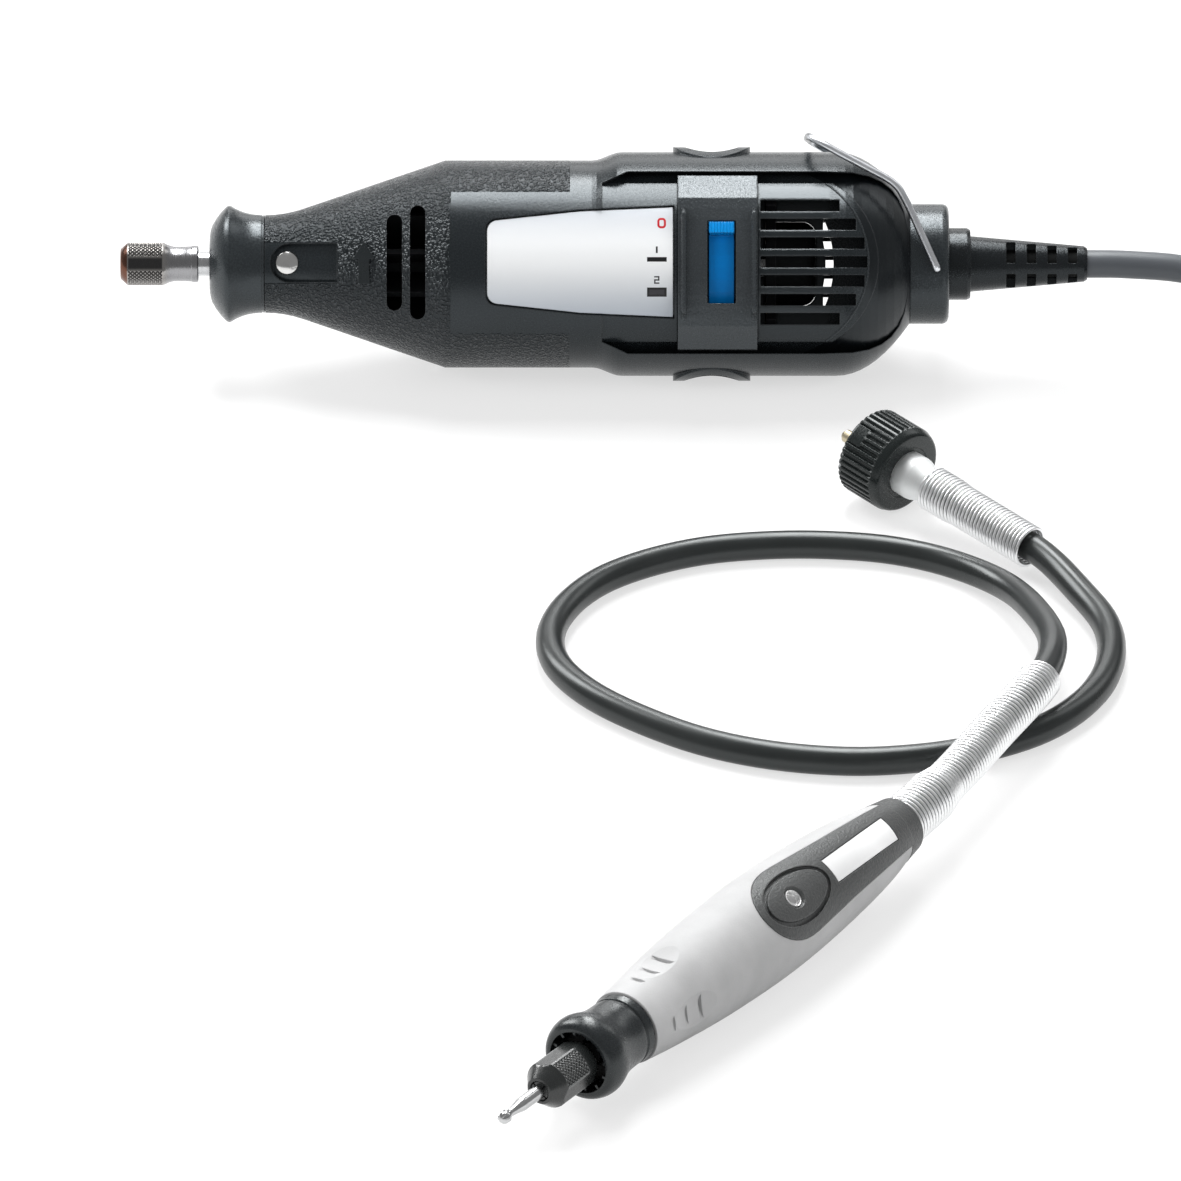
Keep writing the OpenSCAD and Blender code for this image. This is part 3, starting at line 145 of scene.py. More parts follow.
SHEATH_D = 6.8
LOW = SHEATH_D / 2
HAND_LEN = 158.3
LOOP = ((81, 70.5), (67, 77), (51, 79.5), (36, 79), (22, 76), (9, 69.5), (-1.5, 60.5), (-9, 48),
        (-12.5, 34), (-11, 20), (-4, 6.5), (7, -5.5), (22, -17), (38, -24), (55, -27), (70, -26),
        (84, -22), (98, -14), (108, -3.5), (115, 10), (118, 25))
SHEATH_ROUTE = [hand_point(HAND_LEN - 25), hand_point(HAND_LEN),
                (78.5, -53.5, 12.95), (89.5, -29.5, 13), (100.5, -5, 13), (104, 17, 11),
                (100, 40, 7.5), (93, 58, 4.5), *[(x, y, LOW) for x, y in LOOP],
                (117, 40, LOW + 0.1), (111.5, 55, LOW + 0.5), coupling_point(66.5),
                coupling_point(52.5), coupling_point(34)]
CORD_D = 6.7
COIL_R = 42.5
COIL_CENTRE = (194, TOOL_Y - 0.4 - COIL_R)
COIL_TURNS = 7.25
COIL_LOW = CORD_D / 2 + 0.5
COIL_LAYER = CORD_D + 0.5
COIL_PITCH = CORD_D + 0.6
LAYER_TURNS = COIL_TURNS / 4
COIL_STEPS = 420
CORD_START = 0.85      # inside the strain relief
SHEATH_START = 0.55    # inside the handpiece's spring
END_X = TOOL_LEN / 2
PLUG_Y = 83
PLUG_T = 13.6
CORD_ROUTE = [(67.4, TOOL_Y, TOOL_Z), (END_X - 20, TOOL_Y, TOOL_Z), (END_X, TOOL_Y, TOOL_Z),
              (END_X + 10, TOOL_Y, TOOL_Z - 0.2), (END_X + 24, TOOL_Y, TOOL_Z - 1.6),
              (154, TOOL_Y, 20.5), (166, TOOL_Y, 12.8), (177, TOOL_Y, 6.8),
              (186, TOOL_Y - 0.2, 4.2), (COIL_CENTRE[0], COIL_CENTRE[1] + COIL_R, COIL_LOW)]
LEAD_X = COIL_CENTRE[0] + COIL_R
COIL_TOP = COIL_LOW + 3 * COIL_LAYER
LEAD_ROUTE = [(LEAD_X, COIL_CENTRE[1], COIL_TOP), (LEAD_X, COIL_CENTRE[1] - 8, COIL_TOP - 0.4),
              (LEAD_X, PLUG_Y + 35, COIL_TOP - 3), (LEAD_X, PLUG_Y + 24, 16.5),
              (LEAD_X, PLUG_Y + 12, 9.5), (LEAD_X, PLUG_Y + 5, PLUG_T / 2 + 0.3),
              (LEAD_X, PLUG_Y - 4, PLUG_T / 2)]


def coil_point(w):
    """Middle of the stored cord at turn w: in and out over four layers."""
    share = w / LAYER_TURNS
    wave = share - 2 * floor(share / 2)
    wave = wave if wave < 1 else 2 - wave
    near = floor(share + 0.5)
    rise = (w - near * LAYER_TURNS) / 0.5
    layer = 0 if near < 1 else 3 if near > 3 else near - 1 + min(1, max(0, rise + 0.5))
    r = COIL_R - COIL_PITCH * LAYER_TURNS * wave
    a = 2 * pi * w
    return (COIL_CENTRE[0] + r * sin(a), COIL_CENTRE[1] + r * cos(a),
            COIL_LOW + COIL_LAYER * layer)


def mains_line():
    turns = [Vector(coil_point(COIL_TURNS * i / COIL_STEPS)) for i in range(COIL_STEPS)]
    return route_points(CORD_ROUTE, CORD_START, 34)[:-1] + turns + route_points(LEAD_ROUTE, 0, 40)


def lay_cord(name, line, diameter):
    """A cord as one open curve, in metres; each point carries the cord's radius."""
    data = bpy.data.curves.new(name, "CURVE")
    data.dimensions = "3D"
    spline = data.splines.new("POLY")
    spline.points.add(len(line) - 1)
    for point, place in zip(spline.points, line):
        point.co = (*metres(place), 1)
        point.radius = diameter / 2 * MM
    spline.use_smooth = True
    data.bevel_depth = 1
    data.bevel_resolution = 7
    data.use_fill_caps = True
    return show(name, data)


mains_points = mains_line()
mains = lay_cord("mains_lead", mains_points, CORD_D)
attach(mains, "housing")
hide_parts("mains_cord", "mains_coil", "plug_lead")
sheath_points = route_points(SHEATH_ROUTE, SHEATH_START, 160)
sheath = lay_cord("sheath", sheath_points, SHEATH_D)
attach(sheath, "flex")
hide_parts("flex_sheath")


# ---- shader groups ----

def feed(tree, socket, value):
    """Join an output to a socket, or set the socket to a plain value."""
    if isinstance(value, bpy.types.NodeSocket):
        tree.links.new(value, socket)
    else:
        socket.default_value = value


def maths(tree, operation, *values, clamp=False):
    step = tree.nodes.new("ShaderNodeMath")
    step.operation = operation
    step.use_clamp = clamp
    for socket, value in zip(step.inputs, values):
        feed(tree, socket, value)
    return step.outputs[0]


def times(tree, first, *others):
    """Product of masks."""
    for other in others:
        first = maths(tree, "MULTIPLY", first, other)
    return first


def hypotenuse(tree, a, b):
    return maths(tree, "SQRT", maths(tree, "ADD", times(tree, a, a), times(tree, b, b)))


def vector_maths(tree, operation, *values):
    step = tree.nodes.new("ShaderNodeVectorMath")
    step.operation = operation
    for socket, value in zip(step.inputs, values):
        feed(tree, socket, value)
    return step.outputs["Value" if operation == "DOT_PRODUCT" else "Vector"]


def ramp(tree, value, low, high, start=0.0, end=1.0):
    """Smooth step of a value from start at low to end at high."""
    step = tree.nodes.new("ShaderNodeMapRange")
    step.interpolation_type = "SMOOTHSTEP"
    for socket, number in zip(step.inputs, (value, low, high, start, end)):
        feed(tree, socket, number)
    return step.outputs[0]


def within(tree, value, low, high, soft):
    """Mask that is 1 between low and high, with soft edges."""
    rise = ramp(tree, value, low - soft, low + soft)
    return times(tree, rise, ramp(tree, value, high - soft, high + soft, 1.0, 0.0))


def blend_values(tree, factor, a, b):
    step = tree.nodes.new("ShaderNodeMix")
    feed(tree, step.inputs[0], factor)
    feed(tree, step.inputs[2], a)
    feed(tree, step.inputs[3], b)
    return step.outputs[0]


def blend_colours(tree, factor, a, b):
    step = tree.nodes.new("ShaderNodeMix")
    step.data_type = "RGBA"
    feed(tree, step.inputs[0], factor)
    feed(tree, step.inputs[6], a if isinstance(a, bpy.types.NodeSocket) else (*a, 1))
    feed(tree, step.inputs[7], b if isinstance(b, bpy.types.NodeSocket) else (*b, 1))
    return step.outputs[2]


def coat(tree, tone, *layers):
    """A colour under layers of (mask, colour), the first one lowest."""
    for mask, colour in layers:
        tone = blend_colours(tree, mask, tone, colour)
    return tone


def noise(tree, place, scale, detail=2.0, rough=0.5, colour=False):
    step = tree.nodes.new("ShaderNodeTexNoise")
    for label, value in (("Vector", place), ("Scale", scale), ("Detail", detail), ("Roughness", rough)):
        feed(tree, step.inputs[label], value)
    return step.outputs[1 if colour else 0]


def bump(tree, height, depth, normal=None):
    step = tree.nodes.new("ShaderNodeBump")
    step.inputs["Strength"].default_value = 1.0
    feed(tree, step.inputs["Height"], height)
    feed(tree, step.inputs["Distance"], depth)
    if normal is not None:
        feed(tree, step.inputs["Normal"], normal)
    return step.outputs[0]


def new_group(name, inputs, outputs):
    """Empty group with named sockets: places and normals are vectors, the rest are numbers."""
    tree = bpy.data.node_groups.new(name, "ShaderNodeTree")
    for way, labels in (("INPUT", inputs), ("OUTPUT", outputs)):
        for label in labels.split():
            kind = "Vector" if label in ("Place", "Normal") else "Float"
            tree.interface.new_socket(name=label, in_out=way, socket_type="NodeSocket" + kind)
    return tree, tree.nodes.new("NodeGroupInput").outputs, tree.nodes.new("NodeGroupOutput").inputs


def give(tree, out, **values):
    """Join values to the group's outputs of the same names."""
    for label, value in values.items():
        feed(tree, out[label], value)
    return tree


def place_group(name, matrix):
    """Millimetres along, across and up in a piece's own frame, from its object coordinates."""
    tree, _, out = new_group(name, "", "Place Station Side Height Radius")
    coords = tree.nodes.new("ShaderNodeTexCoord").outputs["Object"]
    scaled = vector_maths(tree, "MULTIPLY", coords, (1 / MM, 1 / MM, 1 / MM))
    shifted = vector_maths(tree, "SUBTRACT", scaled, matrix.translation)
    axes = matrix.to_3x3().col
    x, y, z = [vector_maths(tree, "DOT_PRODUCT", shifted, axis) for axis in axes]
    joined = tree.nodes.new("ShaderNodeCombineXYZ")
    for socket, part in zip(joined.inputs, (x, y, z)):
        feed(tree, socket, part)
    return give(tree, out, Place=joined.outputs[0], Station=x, Side=y, Height=z,
                Radius=hypotenuse(tree, y, z))


def rounded_edges_group():
    """Softens sharp edges by a radius in metres, and gives a mask along them."""
    tree, given, out = new_group("rounded_edges", "Radius", "Normal Edge")
    soft = tree.nodes.new("ShaderNodeBevel")
    soft.samples = 4
    feed(tree, soft.inputs["Radius"], given["Radius"])
    true = tree.nodes.new("ShaderNodeNewGeometry").outputs["Normal"]
    bend = vector_maths(tree, "DOT_PRODUCT", soft.outputs[0], true)
    return give(tree, out, Normal=soft.outputs[0], Edge=ramp(tree, bend, 0.985, 0.85))


def moulded_skin_group():
    """Fine spark-eroded skin of a moulded part, with slow changes of tone over the surface."""
    tree, given, out = new_group("moulded_skin", "Place Size Depth Normal", "Normal Tone Speckle")
    speckle = noise(tree, given["Place"], maths(tree, "DIVIDE", 1.0, given["Size"]), 3.0, 0.6)
    return give(tree, out, Speckle=speckle, Tone=noise(tree, given["Place"], 0.06, 3.0, 0.55),
                Normal=bump(tree, speckle, given["Depth"], given["Normal"]))


def leather_grain_group():
    """Pebbled grain: raised cells with creases between them."""
    tree, given, out = new_group("leather_grain", "Place Size Depth Mask Normal", "Normal Crest")
    wander = noise(tree, given["Place"], 0.7, colour=True)
    cells = tree.nodes.new("ShaderNodeTexVoronoi")
    cells.feature = "SMOOTH_F1"
    feed(tree, cells.inputs["Vector"], vector_maths(tree, "MULTIPLY_ADD", wander,
                                                    (1.1, 1.1, 1.1), given["Place"]))
    feed(tree, cells.inputs["Scale"], maths(tree, "DIVIDE", 1.0, given["Size"]))
    cells.inputs["Smoothness"].default_value = 0.35
    crest = ramp(tree, cells.outputs["Distance"], 0.12, 0.72, 1.0, 0.0)
    crest = maths(tree, "MULTIPLY_ADD", noise(tree, given["Place"], 3.1, 2.0), 0.3, crest)
    crest = times(tree, crest, given["Mask"])
    return give(tree, out, Crest=crest,
                Normal=bump(tree, crest, given["Depth"], given["Normal"]))


def turning_marks_group():
    """Fine rings left by a lathe tool along a turned part, with faint stains."""
    tree, given, out = new_group("turning_marks", "Place Depth Normal", "Normal Streak Stain")
    squeezed = vector_maths(tree, "MULTIPLY", given["Place"], (9.0, 0.25, 0.25))
    streak = noise(tree, squeezed, 1.0, 3.0, 0.6)
    return give(tree, out, Streak=streak, Stain=noise(tree, given["Place"], 0.45, 3.0, 0.6),
                Normal=bump(tree, streak, given["Depth"], given["Normal"]))


GROUPS = {"tool": place_group("tool_place", TOOL), "hand": place_group("handpiece_place", HAND),
          "coupling": place_group("coupling_place", COUPLING),
          "table": place_group("table_place", Matrix.Identity(4)),
          "edges": rounded_edges_group(), "skin": moulded_skin_group(),
          "leather": leather_grain_group(), "turning": turning_marks_group()}


class Finish:
    """A material under construction, with its principled shader at hand."""

    def __init__(self, name, colour, rough, metallic=0.0):
        self.material = bpy.data.materials.new(name)
        self.material.use_nodes = True
        self.tree = self.material.node_tree
        self.shader = self.tree.nodes["Principled BSDF"]
        self.material.diffuse_color = (*colour, 1)
        self.set("Base Color", colour)
        self.set("Roughness", rough)
        self.set("Metallic", metallic)

    def set(self, socket, value):
        if isinstance(value, tuple) and len(value) == 3:
            value = (*value, 1)
        feed(self.tree, self.shader.inputs[socket], value)

    def group(self, key, **values):
        step = self.tree.nodes.new("ShaderNodeGroup")
        step.node_tree = GROUPS[key]
        for label, value in values.items():
            feed(self.tree, step.inputs[label], value)
        return step.outputs

    def begin(self, where, edge):
        """The tree, the place on the piece and its softened edges."""
        return self.tree, self.group(where), self.group("edges", Radius=edge)

    def surface(self, tone, skin, low, high, fine="Speckle", reach=0.25):
        """Colour, roughness from low to high after a skin's fine noise, and the skin's normal."""
        self.set("Base Color", tone)
        self.set("Roughness", ramp(self.tree, skin[fine], 0.5 - reach, 0.5 + reach, low, high))
        self.set("Normal", skin["Normal"])

    def sheen(self, strength=None, tint=None):
        for socket, value in (("Specular IOR Level", strength), ("Specular Tint", tint)):
            if value is not None:
                self.shader.inputs[socket].default_value = value


# ---- finishes ----

COOL = (0.86, 0.95, 1.0, 1.0)
NEUTRAL = (0.95, 1.0, 1.0, 1.0)


def plastic(name, colour, rough, where="tool", size=0.35, depth=0.00002, edge=0.0003,
            edge_wear_and_highlight=0.12, play=0.1, shine=0.5):
    """Moulded plastic with a fine skin, rounded edges that catch the light and are lightened by wear and a
    painted highlight, and a slow change of tone.
    """
    finish = Finish(name, colour, rough)
    tree, at, edges = finish.begin(where, edge)
    skin = finish.group("skin", Place=at["Place"], Size=size, Depth=depth, Normal=edges["Normal"])
    pale = tuple(min(1.0, c * 1.3 + 0.002) for c in colour)
    dark = tuple(c * 0.75 for c in colour)
    tone = blend_colours(tree, skin["Tone"], dark, pale)
    # edges lighter: light wear and a painted highlight
    bright = tuple(min(1.0, c * 1.8 + 0.03) for c in colour)
    edge_wear_and_highlight_mask = maths(tree, "MULTIPLY", edges["Edge"], edge_wear_and_highlight * 4, clamp=True)
    finish.surface(blend_colours(tree, edge_wear_and_highlight_mask, tone, bright), skin, rough - play, rough + play)
    finish.sheen(shine, COOL if where == "tool" else NEUTRAL)
    return finish.material


def metal(name, colour, rough, where="tool", depth=0.0000015, edge=0.0002, stain=0.12):
    """Turned or ground metal with tool marks, faint stains, and edges lightened by wear and a painted
    highlight.
    """
    finish = Finish(name, colour, rough, 1.0)
    tree, at, edges = finish.begin(where, edge)
    marks = finish.group("turning", Place=at["Place"], Depth=depth, Normal=edges["Normal"])
    dull = tuple(c * (1 - stain * 2) for c in colour)
    tone = blend_colours(tree, marks["Stain"], dull, colour)
    # edges lighter: light wear and a painted highlight
    bright = tuple(min(1.0, c * 1.15 + 0.04) for c in colour)
    tone = blend_colours(tree, times(tree, edges["Edge"], 0.6), tone, bright)
    finish.surface(tone, marks, rough * 0.75, rough * 1.35, "Streak", 0.2)
    return finish.material


CONE_END = 79.0
GRIP_END = 107.8
BAND_HEIGHT = 16.8
ARCH_X = 156.6
ARCH_R = 22.7


def body_plastic():
    """Body moulding: leather grain on the cone and the grip bands, with painted shade in its creases and
    painted highlights on its crests, satin skin, gloss round the vents, and edges lightened by wear and a
    painted highlight.
    """
    finish = Finish("body_plastic", (0.014, 0.0165, 0.018), 0.36)
    tree = finish.tree
    at = finish.group("tool")
    high = maths(tree, "ABSOLUTE", at["Height"])
    vents = times(tree, within(tree, at["Station"], 146.0, 170.0, 0.5), ramp(tree, high, 18.4, 18.0))
    edges = finish.group("edges", Radius=blend_values(tree, vents, 0.0004, 0.0008))
    cone = ramp(tree, at["Station"], CONE_END, CONE_END + 0.6, 1.0, 0.0)
    bands = times(tree, within(tree, at["Station"], CONE_END, GRIP_END, 0.25),
                  ramp(tree, high, BAND_HEIGHT, BAND_HEIGHT + 0.5))
    lock_bed = times(tree, within(tree, at["Station"], 33.0, 52.4, 0.3),
                     within(tree, at["Height"], -4.9, 4.9, 0.15), ramp(tree, at["Side"], -5.0, -6.0))
    grained = maths(tree, "MULTIPLY", maths(tree, "MAXIMUM", cone, bands),
                    maths(tree, "SUBTRACT", 1.0, lock_bed), clamp=True)
    leather = finish.group("leather", Place=at["Place"], Size=0.68, Depth=0.0004, Mask=grained,
                           Normal=edges["Normal"])
    crest = leather["Crest"]
    skin = finish.group("skin", Place=at["Place"], Size=0.5, Depth=0.00003, Normal=leather["Normal"])
    reach = hypotenuse(tree, maths(tree, "SUBTRACT", at["Station"], ARCH_X), at["Height"])
    gloss = times(tree, ramp(tree, at["Station"], 150.0, 153.0),
                  ramp(tree, reach, ARCH_R - 0.1, ARCH_R + 0.1),
                  within(tree, at["Height"], -21.6, 21.6, 0.15),
                  ramp(tree, at["Radius"], 24.3, 24.6, 1.0, 0.0))
    tone = blend_colours(tree, skin["Tone"], (0.008, 0.01, 0.0115), (0.014, 0.017, 0.019))
    # painted shade darkens the grain's creases and a painted highlight lightens its crests; the edges are
    # lightened by light wear and a painted highlight
    finish.set("Base Color", coat(
        tree, tone, (times(tree, grained, ramp(tree, crest, 0.75, 0.2), 0.85), (0.003, 0.004, 0.005)),
        (ramp(tree, crest, 0.6, 1.05, 0.0, 0.7), (0.05, 0.055, 0.06)),
        (gloss, (0.004, 0.005, 0.006)),
        (times(tree, edges["Edge"], 0.4), (0.1, 0.105, 0.11))))
    rough = ramp(tree, skin["Speckle"], 0.25, 0.75, 0.22, 0.32)
    for mask, value in ((vents, 0.18), (grained, ramp(tree, crest, 0.15, 0.7, 0.36, 0.17)), (gloss, 0.3)):
        rough = blend_values(tree, mask, rough, value)
    finish.set("Roughness", rough)
    finish.set("Normal", skin["Normal"])
    finish.sheen(0.42, COOL)
    return finish.material


# marks on the label, as station from and to, height from and to
DIGIT_ONE = ((128.5, 128.95, 2.1, 3.7),)
DIGIT_TWO = ((128.1, 129.35, -3.72, -3.4), (128.1, 129.35, -4.47, -4.15), (128.1, 129.35, -5.22, -4.9),
             (129.03, 129.35, -4.47, -3.4), (128.1, 128.42, -5.22, -4.15))
SPEED_BARS = ((126.4, 131.1, 0.05, 1.15), (126.4, 131.1, -8.3, -6.1))
BAR_WINDOW = ((126.95, 130.55, -7.8, -6.6),)


def label_foil():
    """Silver foil with its off mark, two numbers and two bars, darker towards the bottom and along the top
    as painted shade.
    """
    finish = Finish("label_foil", (0.75, 0.78, 0.81), 0.4, 0.1)
    tree, at, edges = finish.begin("tool", 0.0003)
    skin = finish.group("skin", Place=at["Place"], Size=0.12, Depth=0.000006, Normal=edges["Normal"])
    height = at["Height"]
    # darker towards the bottom: painted shade over the label's curve
    tone = blend_colours(tree, ramp(tree, height, -14.0, 1.0), (0.43, 0.475, 0.53), (0.96, 0.975, 0.985))

    def beyond(value, middle, straight):
        """Distance past the straight part of an oval, measured from its middle."""
        off = maths(tree, "ABSOLUTE", maths(tree, "SUBTRACT", value, middle))
        return maths(tree, "MAXIMUM", maths(tree, "SUBTRACT", off, straight), 0.0)

    oval = hypotenuse(tree, beyond(at["Station"], 129.9, 0.2), beyond(height, 9.3, 0.42))
    # darker along the top: painted shade
    layers = [(ramp(tree, height, 3.0, 14.0), (0.5, 0.53, 0.57)),
              (times(tree, skin["Speckle"], 0.12), (0.9, 0.92, 0.95)),
              (within(tree, oval, 0.32, 0.84, 0.05), (0.52, 0.004, 0.012))]
    for marks, colour in ((DIGIT_ONE + DIGIT_TWO, (0.02, 0.02, 0.022)), (SPEED_BARS, (0.01, 0.01, 0.011)),
                          (BAR_WINDOW, (0.035, 0.035, 0.04))):
        for x0, x1, low, high in marks:
            mask = times(tree, within(tree, at["Station"], x0, x1, 0.05),
                         within(tree, height, low, high, 0.05))
            layers.append((mask, colour))
    layers.append((times(tree, edges["Edge"], 0.7), (0.2, 0.21, 0.22)))
    finish.surface(coat(tree, tone, *layers), skin, 0.28, 0.42)
    return finish.material


def slider_blue():
    """Blue gloss plastic of the switch slider, finely ribbed across its ridge, with painted highlights on
    the ridge and along the edges.
    """
    finish = Finish("slider_blue", (0.001, 0.12, 0.37), 0.34)
    tree, at, edges = finish.begin("tool", 0.0004)
    ridge = ramp(tree, at["Radius"], 23.9, 24.3)
    ribs = maths(tree, "SINE", times(tree, at["Station"], 8.4))
    ribbed = bump(tree, times(tree, ribs, ridge), 0.00012, edges["Normal"])
    skin = finish.group("skin", Place=at["Place"], Size=0.7, Depth=0.00002, Normal=ribbed)
    tone = blend_colours(tree, skin["Tone"], (0.0, 0.14, 0.44), (0.0, 0.19, 0.56))
    # the ridge and the edges lighter: painted highlights
    tone = coat(tree, tone, (times(tree, ridge, 0.6), (0.004, 0.3, 0.78)),
                (times(tree, edges["Edge"], 0.4), (0.1, 0.38, 0.8)))
    finish.surface(tone, skin, 0.28, 0.42)
    finish.sheen(0.18)
    return finish.material


def nut_burnish():
    """Burnished nut steel: coppery front chamfer, dark flats and dark cuts between the diamonds."""
    finish = Finish("nut_burnish", (0.34, 0.335, 0.33), 0.34, 1.0)
    tree, at, edges = finish.begin("tool", 0.00008)
    marks = finish.group("turning", Place=at["Place"], Depth=0.000002, Normal=edges["Normal"])
    station = at["Station"]
    tone = blend_colours(tree, ramp(tree, station, 10.0, 12.0), (0.4, 0.385, 0.37), (0.34, 0.34, 0.35))
    cuts = times(tree, ramp(tree, at["Radius"], 5.1, 4.88), within(tree, station, 1.9, 10.1, 0.2), 0.9)
    tone = coat(tree, tone, (cuts, (0.03, 0.03, 0.033)),
                (ramp(tree, station, 1.75, 1.55), (0.15, 0.062, 0.038)),
                (times(tree, marks["Stain"], 0.3), (0.1, 0.1, 0.1)))
    finish.surface(tone, marks, 0.2, 0.32, "Streak", 0.2)
    return finish.material


def blackened_nut():
    """Blackened steel of the handpiece nut: crests of the diamonds bared by wear, over dark cuts."""
    finish = Finish("hand_nut_black", (0.014, 0.016, 0.016), 0.28)
    tree, at, edges = finish.begin("hand", 0.00008)
    skin = finish.group("skin", Place=at["Place"], Size=0.9, Depth=0.000002, Normal=edges["Normal"])
    tone = blend_colours(tree, skin["Tone"], (0.011, 0.0125, 0.0125), (0.018, 0.02, 0.02))
    crest = times(tree, within(tree, at["Station"], 18.7, 27.0, 0.2),
                  ramp(tree, at["Radius"], 5.3, 5.47), 0.8)
    finish.surface(blend_colours(tree, crest, tone, (0.13, 0.135, 0.135)), skin, 0.2, 0.32)
    finish.sheen(0.65)
    return finish.material


def bail_wire():
    """Bright drawn wire, with painted shade where its surface turns away from the view."""
    finish = Finish("bail_wire", (0.8, 0.82, 0.85), 0.32, 1.0)
    tree = finish.tree
    slow = noise(tree, finish.group("tool")["Place"], 0.3, 2.0)
    tone = blend_colours(tree, slow, (0.72, 0.745, 0.78), (0.86, 0.88, 0.91))
    turned = tree.nodes.new("ShaderNodeLayerWeight")
    turned.inputs["Blend"].default_value = 0.5
    # painted shade towards the wire's sides as seen from the camera
    painted_rim_shade = times(tree, ramp(tree, turned.outputs["Facing"], 0.45, 0.85), 0.85)
    finish.set("Base Color", blend_colours(tree, painted_rim_shade, tone, (0.07, 0.075, 0.08)))
    finish.set("Roughness", ramp(tree, slow, 0.3, 0.7, 0.28, 0.38))
    return finish.material


def spring_steel(name, where):
    """Bright plated spring wire with a slow change of tone."""
    finish = Finish(name, (0.7, 0.7, 0.7), 0.28, 1.0)
    tree = finish.tree
    slow = noise(tree, finish.group(where)["Place"], 0.25, 2.0)
    finish.set("Base Color", blend_colours(tree, slow, (0.86, 0.87, 0.875), (0.97, 0.975, 0.98)))
    finish.set("Roughness", ramp(tree, slow, 0.3, 0.7, 0.34, 0.42))
    return finish.material


def cord_rubber(name, colour, rough):
    """Extruded rubber with a slow change of tone, darker where the strain relief shades it."""
    finish = Finish(name, colour, rough)
    tree = finish.tree
    at = finish.group("table")
    slow = noise(tree, at["Place"], 0.06, 3.0, 0.55)
    pale = tuple(c * 1.5 + 0.004 for c in colour)
    tone = blend_colours(tree, slow, colour, pale)
    shaded = times(tree, within(tree, at["Station"], 60.0, END_X - 1.5, 1.0),
                   ramp(tree, at["Height"], 20.0, 21.0))
    finish.set("Base Color", blend_colours(tree, shaded, tone, (0.003, 0.003, 0.003)))
    play = ramp(tree, slow, 0.3, 0.7, rough - 0.03, rough + 0.05)
    finish.set("Roughness", blend_values(tree, shaded, play, 0.95))
    finish.sheen(tint=NEUTRAL)
    return finish.material


def core_alloy():
    """Bright cast alloy of the handpiece core, black and dull at the front, inside the collar's mouth."""
    finish = Finish("core_alloy", (0.86, 0.86, 0.86), 0.55, 1.0)
    tree = finish.tree
    at = finish.group("hand")
    front = ramp(tree, at["Station"], 48.0, 50.0, 1.0, 0.0)
    slow = noise(tree, at["Place"], 0.5, 3.0)
    tone = blend_colours(tree, slow, (0.82, 0.82, 0.82), (0.92, 0.92, 0.92))
    finish.set("Base Color", blend_colours(tree, front, tone, (0.004, 0.004, 0.004)))
    finish.set("Metallic", blend_values(tree, front, 1.0, 0.0))
    finish.set("Roughness", blend_values(tree, front, 0.55, 0.8))
    return finish.material


def wound_copper():
    """Enamelled copper windings, wound side by side."""
    finish = Finish("wound_copper", (0.55, 0.24, 0.09), 0.35, 0.85)
    tree = finish.tree
    at = finish.group("tool")
    wires = maths(tree, "SINE", times(tree, at["Height"], 9.0))
    skin = finish.group("skin", Place=at["Place"], Size=0.6, Depth=0.00002,
                        Normal=bump(tree, wires, 0.0001))
    tone = blend_colours(tree, skin["Tone"], (0.4, 0.15, 0.05), (0.66, 0.32, 0.13))
    finish.surface(tone, skin, 0.25, 0.45)
    return finish.material


